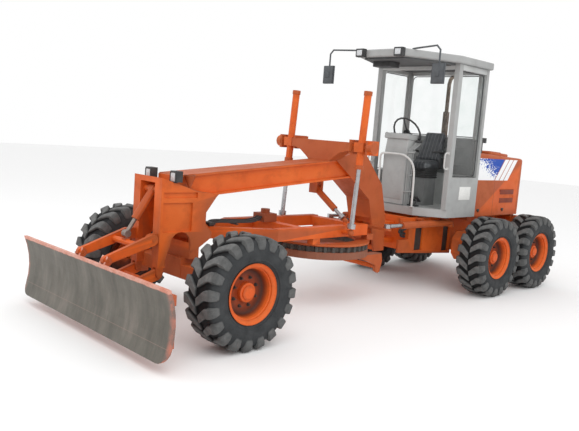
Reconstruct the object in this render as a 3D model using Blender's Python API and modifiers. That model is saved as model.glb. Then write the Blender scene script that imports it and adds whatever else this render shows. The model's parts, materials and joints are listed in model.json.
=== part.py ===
# Articulated motor grader with a front dozer blade, in metres.
# X runs forward, Y to the machine's left and Z up, with the ground at Z = 0.
import math

import bmesh
import bpy
from mathutils import Matrix, Vector

# Driving sizes of the whole machine
tyre_radius = 0.55
tyre_width = 0.411
wheel_track_half = 1.0525
tandem_front_setback = 4.542
tyre_clearance = 0.095
tandem_spacing = 2 * tyre_radius + tyre_clearance
articulation_setback = 3.14
circle_setback = 2.08
cab_floor_z = 1.17
cab_roof_z = 3.25

# Fits that all pieces share
seat_gap = 0.0003
pin_gap = 0.0003
running_gap = 0.006
overrun = 0.02
weld_distance = 0.00001
bury = 0.004

# Tyres and rims, profiles as distances from the wheel's axis and its middle plane
tyre_lugs = 18
lug_width_share = 0.52
lug_slant_share = 0.42
lug_lift = 0.032
tread_gap_half = 0.012
tread_half = 0.176
tyre_bead_half = 0.1475
tyre_bulge_radius = 0.405
tyre_shoulder_radius = 0.492
tyre_shoulder_half = 0.194
rim_segments = 14
rim_barrel_radius = 0.262
rim_flange_radius = 0.294
rim_flange_half = 0.172
rim_seat_half = 0.148
rim_wall = 0.012
rim_dish_radius = 0.225
disc_outer_offset = 0.034
disc_thickness = 0.016
hub_radius = 0.095
hub_cap_radius = 0.072
hub_cap_offset = 0.112
hub_shoulder_offset = 0.085

# Front axle, knuckles and steering
kingpin_y = 0.80
axle_half_depth = 0.075
axle_low = 0.49
axle_high = 0.63
axle_middle_high = 0.70
axle_middle_half = 0.16
axle_beam_end_y = 0.655
yoke_radius = 0.062
yoke_thickness = 0.045
yoke_web_y = 0.70
kingpin_radius = 0.026
knuckle_radius = 0.055
spindle_radius = 0.075
hub_flange_radius = 0.12
hub_flange_thickness = 0.03
steering_arm_reach = 0.19
steering_arm_half_width = 0.028
steering_arm_thickness = 0.03
tie_rod_radius = 0.0205
tie_rod_eye_radius = 0.034
tie_rod_eye_height = 0.045
steering_barrel_radius = 0.042
steering_barrel_half = 0.24
steering_bracket_half = 0.02

# Tower over the front axle
tower_half_width = 0.25
tower_plate = 0.03
tower_front = 0.416
tower_top = 1.53
tower_shelf_rear_top = 1.40
tower_shelf_rear = -0.02
tower_rear_corner = -0.29
tower_rear_waist = -0.14
tower_rear_waist_high = 1.18
tower_rear_waist_low = 1.05
tower_lobe_rear = -0.225
tower_lobe_high = 0.97
tower_lobe_low = 0.86
tower_rear_foot = -0.03
tower_rear_foot_z = 0.79
tower_foot_rear = 0.335
arch_radius = 0.125
arch_x = 0.16
arch_z = 0.865
arch_rear_x = arch_x - arch_radius
channel_half_width = 0.13
channel_depth = 0.22
channel_top = 1.505
panel_rear = 0.035
panel_front = 0.385
panel_low = 0.99
panel_high = 1.285
panel_depth = 0.02
rib_depth = 0.03
rib_thickness = 0.03
headlamp_mount_x = 0.235

# Main beam and gooseneck
beam_half_width = 0.15
beam_front = 0.20
beam_front_low = 1.305
beam_front_high = 1.55
beam_rear = -2.50
beam_rear_low = 1.56
beam_rear_high = 1.80
flange_overhang = 0.035
flange_thickness = 0.022
neck_half_width = 0.20
neck_plate = 0.03
neck_top_front = (-2.12, 1.775)
neck_top_crest = (-2.48, 1.885)
neck_top_rear = (-2.70, 1.85)
neck_outer_knee = (-3.07, 1.47)
neck_outer_low = (-3.205, 1.04)
neck_foot_rear = (-3.235, 0.57)
neck_foot_front = (-3.03, 0.57)
neck_inner_low = (-2.92, 0.97)
neck_inner_knee = (-2.83, 1.27)
neck_inner_top = (-2.45, 1.545)

# Articulation joint
hinge_ear_thickness = 0.06
hinge_pin_radius = 0.045
hinge_low = 0.645
hinge_high = 0.94
hinge_lug_radius = 0.10
articulation_front_pin = (-2.88, 0.50)
articulation_rear_pin = (-4.30, 0.53)
articulation_cylinder_z = 0.96
articulation_barrel_radius = 0.048
articulation_rod_radius = 0.025
articulation_barrel_length = 1.12
articulation_rod_tail = 0.335
ear_plate = 0.03
ear_radius = 0.055
eye_radius = 0.045
eye_height = 0.05

# Saddle over the beam and the drawbar's lift cylinders
saddle_x = -2.10
saddle_half_depth = 0.085
saddle_high = 2.0
saddle_low_middle = 1.745
saddle_arch_high = 1.90
saddle_arch_inner_y = 0.20
saddle_arch_outer_y = 0.46
lift_cylinder_y = 0.60
trunnion_z = 1.95
fork_inner_y = 0.49
fork_outer_y = 0.71
fork_cheek = 0.035
fork_half_height = 0.085
fork_back_x = -2.245
fork_back_thickness = 0.03
drum_radius = 0.072
drum_length = 0.09
trunnion_pin_radius = 0.028
trunnion_block_half = 0.07
trunnion_pin_half = fork_outer_y - lift_cylinder_y + 0.8 * fork_cheek
lift_barrel_radius = 0.045
lift_barrel_low = 1.69
lift_barrel_high = 2.61
lift_collar_height = 0.05
lift_collar_radius = 0.056
lift_rod_radius = 0.028
lift_rod_top = 2.26
lift_ball_z = 0.93
lift_ball_setback = 2.04
lift_ball_radius = 0.042
lift_eye_radius = 0.05
lift_eye_height = 0.06

# Drawbar, circle and its carrier arms
drawbar_ball_x = -0.235
drawbar_ball_z = 0.945
drawbar_ball_radius = 0.055
drawbar_socket_radius = 0.085
drawbar_neck_x = -0.33
rail_kink_x = -0.96
rail_y = 0.43
rail_neck_y = 0.07
rail_half_width = 0.05
rail_low = 0.865
rail_high = 1.0
rail_rear_x = -2.50
cross_front_x = -1.40
cross_rear_x = -2.42
cross_half_depth = 0.06
table_radius = 0.68
table_inner_radius = 0.50
table_low = 0.775
table_high = 0.80
wear_ring_outer = 0.585
wear_ring_inner = 0.535
circle_top = 0.765
circle_teeth_low = 0.70
circle_low = 0.615
circle_band_radius = 0.665
circle_root_radius = 0.63
circle_tip_radius = 0.658
circle_inner_radius = 0.52
circle_teeth = 40
tooth_root_share = 0.31
tooth_tip_share = 0.16
arm_y = 0.45
arm_half_thickness = 0.022
arm_outline_shares = [
    (0.00, 1.00), (0.62, 1.03), (0.96, 0.94), (1.00, 0.55), (0.93, 0.04),
    (0.86, 0.00), (0.78, 0.10), (0.76, 0.38), (0.45, 0.62), (0.10, 0.78),
]
arm_front_x = -2.33
arm_rear_x = -2.87
arm_low = 0.35
arm_high = 0.625
tilt_shaft_x = -2.79
tilt_shaft_z = 0.43
tilt_shaft_radius = 0.03
circle_drive_x = -1.335
circle_drive_y = -0.16
circle_drive_half = 0.10
circle_drive_high = 1.03
circle_motor_radius = 0.055
circle_motor_high = 1.11

# Side shift cylinder between the beam and the drawbar
shift_top = (-2.105, -0.085, 1.393)
shift_low = (-2.105, 0.44, 1.055)
shift_ball_radius = 0.032
shift_cup_height = 0.05
shift_bracket_half = 0.055
shift_barrel_radius = 0.04
shift_barrel_share = 0.66
shift_rod_radius = 0.022
shift_rod_tail_share = 0.45
shift_eye_radius = 0.04

# Dozer blade, its parallel arms and its cylinder
blade_half_width = 1.376
blade_low = 0.102
blade_height = 0.635
blade_back_x = 0.96
blade_reach = 0.065
blade_plate = 0.035
blade_curve_steps = 6
blade_corner = 0.12
blade_corner_steps = 5
blade_rib_depth = 0.07
blade_rib_half_height = 0.045
blade_rib_z_shares = (0.22, 0.80)
blade_rib_length_share = 0.92
blade_lug_plate = 0.03
blade_lug_radius = 0.046
upper_arm_y = 0.24
lower_arm_y = 0.19
dozer_arm_half_thickness = 0.022
dozer_arm_rear_half = 0.055
dozer_arm_front_half = 0.04
front_pin_back = 0.024
upper_front_pin_share = 1.036
lower_front_pin_setback = 0.10
lower_front_pin_share = 0.474
dozer_arm_run = 0.502
dozer_arm_drop = 0.165
dozer_pin_radius = 0.022
mount_ear_thickness = 0.04
upper_ear_half = 0.055
lower_ear_half = 0.034
foot_clearance = 0.03
upper_cross_share = 0.30
upper_cross_radius = 0.032
dozer_cylinder_top = (0.345, 1.40)
dozer_barrel_radius = 0.042
dozer_barrel_share = 0.68
dozer_rod_radius = 0.021
dozer_rod_tail_share = 0.42
dozer_eye_radius = 0.036
dozer_eye_lift = 0.085
upper_front_pin = (blade_back_x + front_pin_back, blade_low + blade_height * upper_front_pin_share)
lower_front_pin = (
    upper_front_pin[0] - lower_front_pin_setback, blade_low + blade_height * lower_front_pin_share,
)
upper_rear_pin = (upper_front_pin[0] - dozer_arm_run, upper_front_pin[1] + dozer_arm_drop)
lower_rear_pin = (lower_front_pin[0] - dozer_arm_run, lower_front_pin[1] + dozer_arm_drop)
tower_foot_z = lower_rear_pin[1] + dozer_arm_rear_half + foot_clearance / 2

# Keeps the machine's overall box centred on X = 0
front_axle_x = (
    tandem_front_setback + tandem_spacing + tyre_radius - blade_back_x - blade_reach - blade_plate
) / 2

# Rear frame
frame_y = 0.36
frame_plate = 0.03
frame_front = -3.34
frame_rear = -6.12
frame_high = 1.03
frame_low_front = 0.555
frame_low_step = 0.465
frame_low_rear = 0.70
frame_step_x = -4.63
frame_window_x = ((-3.712, -3.90), (-4.405, -4.577))
frame_window_low = (0.56, 0.51)
frame_window_high = 0.89
frame_notch_rear = -3.56
frame_notch_low = 0.73
frame_notch_high = 0.93
nose_front = -3.56
nose_rear = -3.62
hinge_lug_plate = 0.07
bumper_depth = 0.12
bumper_half_width = 0.62
bumper_low = 0.72
bumper_high = 1.02
cross_plate = 0.05
hood_bearer_x = (-4.76, -6.05)
hood_bearer_height = 0.06
rear_cross_x = (-4.0, -4.72, -5.75)

# Rear axle and tandem cases
tandem_case_inner_y = 0.60
tandem_case_outer_y = 0.80
tandem_case_low = 0.44
tandem_case_high = 0.85
tandem_case_overhang = 0.26
tandem_case_chamfer = 0.10
axle_tube_radius = 0.12
axle_saddle_half = 0.11

# Engine, hood and exhaust
engine_front = -4.98
engine_rear = -5.98
engine_half_width = 0.27
engine_low = 0.80
engine_high = 1.72
hood_front = -4.72
hood_rear = -6.15
hood_half_width = 0.60
hood_low = 1.045
hood_high_front = 1.985
hood_high_rear = 1.93
hood_wall = 0.02
hood_corner = 0.045
hood_lid_front = -4.86
hood_lid_rear = -5.35
hood_lid_half = 0.30
hood_lid_height = 0.035
louvre_x = ((-5.48, -5.93), )
louvre_z = (1.425, 1.325)
louvre_height = 0.045
louvre_depth = 0.008
exhaust_x = -4.92
exhaust_y = -0.125
exhaust_sleeve_high = 2.56
exhaust_sleeve_radius = 0.048
exhaust_radius = 0.03
exhaust_bend_z = 2.98
exhaust_tip = (-5.14, 3.15)
cleaner_x = -5.06
cleaner_y = 0.33
cleaner_radius = 0.085
cleaner_stem_radius = 0.051
cleaner_height = 0.16
cleaner_cap_radius = 0.10
cleaner_cap_height = 0.07

# Cab
cab_front_x = -3.64
cab_door_x = -3.93
cab_rear_x = -4.66
cab_front_half = 0.33
cab_half_width = 0.69
cab_floor_thickness = 0.05
cab_skirt = 0.06
cab_wall = 0.03
cab_sill_z = 1.62
cab_rear_sill_z = 2.18
pillar_depth = 0.09
pillar_width = 0.075
rear_pillar_depth = 0.06
header_height = 0.075
roof_thickness = 0.10
roof_front_x = -3.06
roof_front_half = 0.38
roof_door_x = -3.88
roof_half_width = 0.73
roof_rear_x = -4.70
roof_bevel = 0.018
glass_thickness = 0.006
mount_foot_half = 0.06
console_front_x = -3.66
console_rear_x = -3.80
console_half_width = 0.19
console_y = -0.07
console_knee_z = 1.98
console_top_z = 2.16
console_top_rear_x = -3.88
wheel_rim_radius = 0.225
wheel_rim_tube = 0.014
wheel_centre = (-3.885, 2.195)
wheel_tilt_deg = 60.0
wheel_column_radius = 0.03
lever_count = 4
lever_x = -3.93
lever_y = 0.075
lever_pitch = 0.045
lever_radius = 0.011
lever_top_z = 1.935
seat_front_x = -4.0
seat_rear_x = -4.38
seat_half_width = 0.235
seat_high = 1.80
seat_thickness = 0.11
seat_back_thickness = 0.10
seat_back_high = 2.25
seat_back_lean = 0.10
seat_round = 0.035
seat_base_half = 0.19
seat_base_inset = 0.05
mirror_y = 0.915
mirror_x = -3.06
mirror_z = 2.92
mirror_half_width = 0.09
mirror_half_height = 0.125
mirror_thickness = 0.03
mirror_arm_radius = 0.012
mirror_arm_root_y = 0.45
mirror_arm_root_x = -3.20
lamp_half_width = 0.065
lamp_half_height = 0.055
lamp_depth = 0.07
work_lamp_y = 0.32
headlamp_half_width = 0.055
headlamp_half_height = 0.055
headlamp_depth = 0.075
headlamp_y = 0.225
headlamp_stem_radius = 0.012
headlamp_z = 1.545

# Colours as red, green and blue, then roughness and how metallic it is
orange = (0.78, 0.16, 0.035, 0.45, 0.0)
finish_table = {
    "orange_paint": orange,
    "grey_paint": (0.52, 0.53, 0.52, 0.5, 0.0),
    "rubber": (0.03, 0.03, 0.032, 0.85, 0.0),
    "blade_steel": (0.16, 0.13, 0.11, 0.6, 0.4),
    "chrome_rod": (0.6, 0.6, 0.6, 0.25, 1.0),
    "black_plastic": (0.03, 0.03, 0.03, 0.6, 0.0),
    "dark_metal": (0.07, 0.07, 0.07, 0.6, 0.5),
    "rusty_pipe": (0.16, 0.12, 0.09, 0.75, 0.4),
    "seat_vinyl": (0.03, 0.035, 0.04, 0.6, 0.0),
    "clear_glass": (0.8, 0.85, 0.85, 0.05, 0.0),
    "mirror_housing": (0.05, 0.055, 0.06, 0.5, 0.0),
    "lamp_body": (0.05, 0.05, 0.05, 0.4, 0.0),
}


def clear_scene():
    for item in list(bpy.data.objects):
        bpy.data.objects.remove(item, do_unlink=True)


def make_collection(name):
    collection = bpy.data.collections.new(name)
    bpy.context.scene.collection.children.link(collection)
    return collection


def make_material(name, values):
    material = bpy.data.materials.new(name)
    material.use_nodes = True
    shader = material.node_tree.nodes["Principled BSDF"]
    shader.inputs["Base Color"].default_value = (*values[:3], 1.0)
    shader.inputs["Roughness"].default_value = values[3]
    shader.inputs["Metallic"].default_value = values[4]
    material.diffuse_color = (*values[:3], 1.0)
    return material


def ahead(distance):
    return front_axle_x + distance


def place(points):
    return [(ahead(x), z) for x, z in points]


def link(name, mesh):
    item = bpy.data.objects.new(name, mesh)
    bench.objects.link(item)
    return item


def from_bmesh(name, work):
    mesh = bpy.data.meshes.new(name)
    bmesh.ops.recalc_face_normals(work, faces=work.faces)
    work.to_mesh(mesh)
    work.free()
    return link(name, mesh)


def freeze(item):
    # Turns an object with modifiers, or a curve, into a plain welded mesh
    bpy.context.view_layer.update()
    evaluated = item.evaluated_get(bpy.context.evaluated_depsgraph_get())
    mesh = bpy.data.meshes.new_from_object(evaluated)
    work = bmesh.new()
    work.from_mesh(mesh)
    bmesh.ops.remove_doubles(work, verts=work.verts, dist=weld_distance)
    work.to_mesh(mesh)
    work.free()
    if item.type == "MESH":
        item.modifiers.clear()
        item.data = mesh
        return item
    solid = link(item.name + "_mesh", mesh)
    solid.matrix_world = item.matrix_world
    bpy.data.objects.remove(item)
    return solid


def block(low, high):
    # A box between two opposite corners
    work = bmesh.new()
    size = [high[i] - low[i] for i in range(3)]
    centre = [(high[i] + low[i]) / 2 for i in range(3)]
    bmesh.ops.create_cube(work, size=1.0)
    bmesh.ops.transform(
        work, matrix=Matrix.Translation(centre) @ Matrix.Diagonal((*size, 1.0)), verts=work.verts,
    )
    return from_bmesh("block", work)


def frustum(start, end, start_radius, end_radius, sides):
    # A round bar, straight or tapered, between two points
    start = Vector(start)
    end = Vector(end)
    run = end - start
    work = bmesh.new()
    turn = run.to_track_quat("Z", "Y").to_matrix().to_4x4()
    matrix = Matrix.Translation((start + end) / 2) @ turn
    bmesh.ops.create_cone(
        work, cap_ends=True, segments=sides, radius1=start_radius, radius2=end_radius,
        depth=run.length, matrix=matrix,
    )
    return from_bmesh("frustum", work)


def rod(start, end, radius, sides=10):
    return frustum(start, end, radius, radius, sides)


def bore(start, end, radius, sides=10):
    # A cutter whose flats clear a round pin of that radius, at any turn of the pin
    return rod(start, end, radius / math.cos(math.pi / sides) + pin_gap, sides)


def ball(centre, radius, rings=6):
    work = bmesh.new()
    bmesh.ops.create_uvsphere(
        work, u_segments=2 * rings, v_segments=rings, radius=radius, matrix=Matrix.Translation(centre),
    )
    return from_bmesh("ball", work)


def swing_ball(centre, radius, widen=1.0, turn=0.0):
    # A ball with its poles on the Y axis, for a joint that swings about Y
    facets = 12
    work = bmesh.new()
    poles = Matrix.Rotation(math.pi / 2, 4, "X") @ Matrix.Rotation(turn * math.pi / facets, 4, "Z")
    bmesh.ops.create_uvsphere(
        work, u_segments=facets, v_segments=facets // 2, radius=radius,
        matrix=Matrix.Translation(centre) @ poles @ Matrix.Diagonal((widen, widen, 1.0, 1.0)),
    )
    return from_bmesh("swing_ball", work)


def plate(points, thickness, matrix):
    # A flat outline as a filled 2D curve, extruded both ways by half its thickness
    curve = bpy.data.curves.new("outline", "CURVE")
    curve.dimensions = "2D"
    curve.fill_mode = "BOTH"
    curve.extrude = thickness / 2
    spline = curve.splines.new("POLY")
    spline.points.add(len(points) - 1)
    for point, (across, up) in zip(spline.points, points):
        point.co = (across, up, 0.0, 1.0)
    spline.use_cyclic_u = True
    item = link("plate", curve)
    solid = freeze(item)
    solid.data.transform(matrix)
    return solid


def side_plate(points, low_y, high_y):
    # An outline in X and Z, standing between two Y planes
    stand = Matrix.Rotation(math.pi / 2, 4, "X")
    return plate(points, high_y - low_y, Matrix.Translation((0.0, (low_y + high_y) / 2, 0.0)) @ stand)


def floor_plate(points, low_z, high_z):
    # An outline in X and Y, lying between two heights
    return plate(points, high_z - low_z, Matrix.Translation((0.0, 0.0, (low_z + high_z) / 2)))


def cross_plate_solid(points, low_x, high_x):
    # An outline in Y and Z, standing between two X planes
    stand = Matrix(((0.0, 0.0, 1.0, 0.0), (1.0, 0.0, 0.0, 0.0), (0.0, 1.0, 0.0, 0.0), (0.0, 0.0, 0.0, 1.0)))
    return plate(points, high_x - low_x, Matrix.Translation(((low_x + high_x) / 2, 0.0, 0.0)) @ stand)


def turned(profile, steps, start, direction):
    # A profile of (radius, height) pairs, top to bottom, turned about its axis
    mesh = bpy.data.meshes.new("profile")
    edges = [(i, i + 1) for i in range(len(profile) - 1)]
    mesh.from_pydata([(radius, 0.0, height) for radius, height in profile], edges, [])
    item = link("turned", mesh)
    screw = item.modifiers.new("Screw", "SCREW")
    screw.angle = 2 * math.pi
    screw.steps = steps
    screw.render_steps = steps
    screw.use_merge_vertices = True
    screw.merge_threshold = weld_distance
    screw.use_smooth_shade = False
    freeze(item)
    turn = Vector(direction).to_track_quat("Z", "Y").to_matrix().to_4x4()
    item.data.transform(Matrix.Translation(start) @ turn)
    work = bmesh.new()
    work.from_mesh(item.data)
    bmesh.ops.recalc_face_normals(work, faces=work.faces)
    work.to_mesh(item.data)
    work.free()
    return item


def ring(centre, inner, outer, height, sides):
    half = height / 2
    profile = [(outer, half), (outer, -half), (inner, -half), (inner, half), (outer, half)]
    return turned(profile, sides, centre, (0.0, 0.0, 1.0))


def tube(points, radius, resolution=2):
    # A bent round tube along a list of points
    curve = bpy.data.curves.new("tube", "CURVE")
    curve.dimensions = "3D"
    curve.bevel_depth = radius
    curve.bevel_resolution = resolution
    curve.use_fill_caps = True
    spline = curve.splines.new("POLY")
    spline.points.add(len(points) - 1)
    for point, place_at in zip(spline.points, points):
        point.co = (*place_at, 1.0)
    return freeze(link("tube", curve))


def tongue(start, end, half, steps=4):
    # An outline in X and Z with a flat start and a round end
    run = Vector(end) - Vector(start)
    heading = math.atan2(run.y, run.x)
    side = Vector((-math.sin(heading), math.cos(heading))) * half
    points = [tuple(Vector(start) + side), tuple(Vector(start) - side)]
    for step in range(steps + 1):
        angle = heading - math.pi / 2 + math.pi * step / steps
        points.append((end[0] + half * math.cos(angle), end[1] + half * math.sin(angle)))
    return points


def combine(base, tools, operation):
    for tool in tools:
        step = base.modifiers.new("Boolean", "BOOLEAN")
        step.operation = operation
        step.object = tool
        step.solver = "EXACT"
        freeze(base)
        bpy.data.objects.remove(tool)
    return base


def fuse(base, *pieces):
    return combine(base, pieces, "UNION")


def cut(base, *tools):
    return combine(base, tools, "DIFFERENCE")


def bevelled(item, width, segments=2):
    step = item.modifiers.new("Bevel", "BEVEL")
    step.width = width
    step.segments = segments
    step.limit_method = "ANGLE"
    step.angle_limit = math.radians(40)
    return freeze(item)


def node(name, item, finish, origin=(0.0, 0.0, 0.0)):
    # Names a finished solid, gives it its finish and sets its origin on its joint
    item.data.transform(Matrix.Translation([-value for value in origin]))
    item.location = origin
    item.name = name
    item.data.name = name
    item.data.materials.clear()
    item.data.materials.append(finishes[finish])
    item.data.shade_smooth()
    item.data.set_sharp_from_angle(angle=math.radians(35))
    bench.objects.unlink(item)
    grader.objects.link(item)
    return item


def both_sides(make):
    # Calls a maker for the left and the right side
    for side, sign in (("left", 1.0), ("right", -1.0)):
        make(side, sign)


# Tyre and rim

def tyre_ring(work, count, radii, angles, level):
    # One closed ring of points about the wheel's axis
    return [
        work.verts.new(
            (radii[i % len(radii)] * math.cos(angles[i]), level, radii[i % len(radii)] * math.sin(angles[i]))
        )
        for i in range(count)
    ]


def tyre_solid():
    # Both halves of the tyre, ring by ring: bore, bead, bulge, shoulder, the lugs' outer ends and their inner ends
    pitch = 2 * math.pi / tyre_lugs
    root = tyre_radius - lug_lift
    bore_radius = rim_barrel_radius / math.cos(math.pi / tyre_lugs) + seat_gap
    work = bmesh.new()
    inner_rings = []
    bore_rings = []
    for side in (1.0, -1.0):
        shift = 0.0 if side > 0 else 0.5
        starts = [(lug + shift) * pitch for lug in range(tyre_lugs)]
        middles = [start + lug_width_share * pitch / 2 for start in starts]
        slant = lug_slant_share * pitch
        outer = [start + share * pitch for start in starts for share in (0.0, lug_width_share)]
        inner = [angle - slant for angle in outer]
        count = 2 * tyre_lugs
        bead = tyre_ring(work, tyre_lugs, [bore_radius], middles, side * tyre_bead_half)
        bulge = tyre_ring(work, tyre_lugs, [tyre_bulge_radius], middles, side * tyre_width / 2)
        shoulder = tyre_ring(work, count, [tyre_shoulder_radius], outer, side * tyre_shoulder_half)
        tip_edge = tyre_ring(work, count, [tyre_radius], outer, side * tread_half)
        tip_inner = tyre_ring(work, count, [tyre_radius], inner, side * tread_gap_half * 2)
        root_inner = tyre_ring(work, count, [root], inner, side * tread_gap_half)
        for lug in range(tyre_lugs):
            a = 2 * lug
            b = a + 1
            c = (a + 2) % count
            after = (lug + 1) % tyre_lugs
            faces = [
                (bead[lug], bead[after], bulge[after], bulge[lug]),
                (bulge[lug], shoulder[a], shoulder[b]),
                (bulge[lug], shoulder[b], shoulder[c], bulge[after]),
                (shoulder[a], tip_edge[a], tip_edge[b], shoulder[b]),
                (tip_edge[a], tip_inner[a], tip_inner[b], tip_edge[b]),
                (tip_inner[a], root_inner[a], root_inner[b], tip_inner[b]),
                (shoulder[a], root_inner[a], tip_inner[a], tip_edge[a]),
                (shoulder[b], tip_edge[b], tip_inner[b], root_inner[b]),
                (shoulder[b], root_inner[b], root_inner[c], shoulder[c]),
            ]
            for face in faces:
                work.faces.new(face)
        inner_rings.append((root_inner, starts))
        bore_rings.append(bead)
    left, right = inner_rings[0][0], inner_rings[1][0]
    count = 2 * tyre_lugs
    for i in range(count):
        # The right half's points stand half a pitch on, so point i lies beside the left half's point i and i + 1
        work.faces.new((left[i], right[(i - 1) % count], right[i], left[(i + 1) % count]))
    for lug in range(tyre_lugs):
        after = (lug + 1) % tyre_lugs
        work.faces.new((bore_rings[0][lug], bore_rings[1][lug], bore_rings[0][after]))
        work.faces.new((bore_rings[1][lug], bore_rings[1][after], bore_rings[0][after]))
    bmesh.ops.triangulate(work, faces=[face for face in work.faces if len(face.verts) > 3])
    return from_bmesh("tyre", work)


def rim_solid():
    disc_inner = disc_outer_offset - disc_thickness
    profile = [
        (0.0, hub_cap_offset),
        (hub_cap_radius, hub_cap_offset),
        (hub_radius, hub_shoulder_offset),
        (hub_radius, disc_outer_offset),
        (rim_dish_radius, disc_outer_offset),
        (rim_barrel_radius - rim_wall, rim_seat_half),
        (rim_flange_radius, rim_flange_half),
        (rim_barrel_radius, rim_seat_half),
        (rim_barrel_radius, -rim_seat_half),
        (rim_flange_radius, -rim_flange_half),
        (rim_barrel_radius - rim_wall, -rim_seat_half),
        (rim_barrel_radius - rim_wall, disc_inner),
        (0.0, disc_inner),
    ]
    return turned(profile, rim_segments, (0.0, 0.0, 0.0), (0.0, 1.0, 0.0))


def wheel_set():
    # Columns: place along the machine, side, then the wheel's X and the sign of its Y
    tyre_mesh = tyre_solid()
    rim_mesh = rim_solid()
    places = (
        ("front", ahead(0.0)),
        ("middle", ahead(-tandem_front_setback)),
        ("rear", ahead(-tandem_front_setback - tandem_spacing)),
    )
    for position, wheel_x in places:
        for side, sign in (("left", 1.0), ("right", -1.0)):
            for kind, source, finish in (("tyre", tyre_mesh, "rubber"), ("rim", rim_mesh, "orange_paint")):
                mesh = source.data.copy()
                if sign < 0:
                    mesh.transform(Matrix.Rotation(math.pi, 4, "Z"))
                centre = (wheel_x, sign * wheel_track_half, tyre_radius)
                mesh.transform(Matrix.Translation(centre))
                item = link(kind, mesh)
                node(f"{kind}_{position}_{side}", item, finish, centre)
    bpy.data.objects.remove(tyre_mesh)
    bpy.data.objects.remove(rim_mesh)


hub_face_y = wheel_track_half + disc_outer_offset - disc_thickness - seat_gap


# Front axle and steering

def front_axle():
    x = ahead(0.0)
    beam = block(
        (x - axle_half_depth, -axle_beam_end_y, axle_low), (x + axle_half_depth, axle_beam_end_y, axle_high),
    )
    hump = cross_plate_solid(
        [
            (-axle_middle_half, axle_low + bury), (axle_middle_half, axle_low + bury),
            (axle_middle_half, axle_middle_high), (-axle_middle_half, axle_middle_high),
        ],
        x - axle_half_depth - bury, x + axle_half_depth + bury,
    )
    fuse(beam, hump)
    yoke_low = tyre_radius - knuckle_height_half - seat_gap - yoke_thickness
    yoke_high = tyre_radius + knuckle_height_half + seat_gap + yoke_thickness
    for sign in (1.0, -1.0):
        web_y = sorted((sign * axle_beam_end_y - sign * bury, sign * yoke_web_y))
        web = block((x - yoke_radius, web_y[0], yoke_low), (x + yoke_radius, web_y[1], yoke_high))
        fuse(beam, web)
        for low in (yoke_low, yoke_high - yoke_thickness):
            fuse(beam, floor_plate(
                tongue((x, sign * (yoke_web_y - bury)), (x, sign * kingpin_y), yoke_radius - bury),
                low, low + yoke_thickness,
            ))
        cut(beam, bore(
            (x, sign * kingpin_y, yoke_low - overrun), (x, sign * kingpin_y, yoke_high + overrun), kingpin_radius,
        ))
    barrel_x = ahead(-steering_arm_reach)
    rod_z = tie_rod_z
    barrel = rod(
        (barrel_x, -steering_barrel_half, rod_z), (barrel_x, steering_barrel_half, rod_z), steering_barrel_radius,
    )
    bracket = block(
        (barrel_x, -steering_bracket_half, axle_low + bury * 2),
        (x, steering_bracket_half, rod_z + steering_barrel_radius / 2),
    )
    fuse(beam, bracket, barrel)
    cut(beam, bore(
        (barrel_x, -steering_barrel_half - overrun, rod_z), (barrel_x, steering_barrel_half + overrun, rod_z),
        tie_rod_radius,
    ))
    node("front_axle", beam, "orange_paint")


knuckle_height_half = 0.105
steering_arm_top = tyre_radius + knuckle_height_half * 0.6
tie_rod_z = steering_arm_top + seat_gap + tie_rod_eye_height / 2


def knuckle(side, sign):
    x = ahead(0.0)
    y = sign * kingpin_y
    body = rod(
        (x, y, tyre_radius - knuckle_height_half), (x, y, tyre_radius + knuckle_height_half), knuckle_radius,
    )
    flange_y = sign * hub_face_y
    spindle = rod((x, y, tyre_radius), (x, flange_y - sign * bury, tyre_radius), spindle_radius)
    flange = rod(
        (x, flange_y - sign * hub_flange_thickness, tyre_radius), (x, flange_y, tyre_radius), hub_flange_radius,
    )
    pin = rod(
        (x, y, tyre_radius - knuckle_height_half - yoke_thickness),
        (x, y, tyre_radius + knuckle_height_half + yoke_thickness), kingpin_radius,
    )
    arm = block(
        (ahead(-steering_arm_reach), y - steering_arm_half_width, steering_arm_top - steering_arm_thickness),
        (x, y + steering_arm_half_width, steering_arm_top),
    )
    arm_end = rod(
        (ahead(-steering_arm_reach), y, steering_arm_top - steering_arm_thickness + bury),
        (ahead(-steering_arm_reach), y, steering_arm_top), tie_rod_eye_radius,
    )
    fuse(body, spindle, flange, pin, arm, arm_end)
    node(f"knuckle_{side}", body, "orange_paint", (x, y, tyre_radius))


def tie_rod():
    x = ahead(-steering_arm_reach)
    bar = rod((x, -kingpin_y, tie_rod_z), (x, kingpin_y, tie_rod_z), tie_rod_radius)
    for sign in (1.0, -1.0):
        low = (x, sign * kingpin_y, tie_rod_z - tie_rod_eye_height / 2)
        high = (x, sign * kingpin_y, tie_rod_z + tie_rod_eye_height / 2)
        fuse(bar, rod(low, high, tie_rod_eye_radius))
    node("tie_rod", bar, "chrome_rod", (x, 0.0, tie_rod_z))


# Main frame

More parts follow.
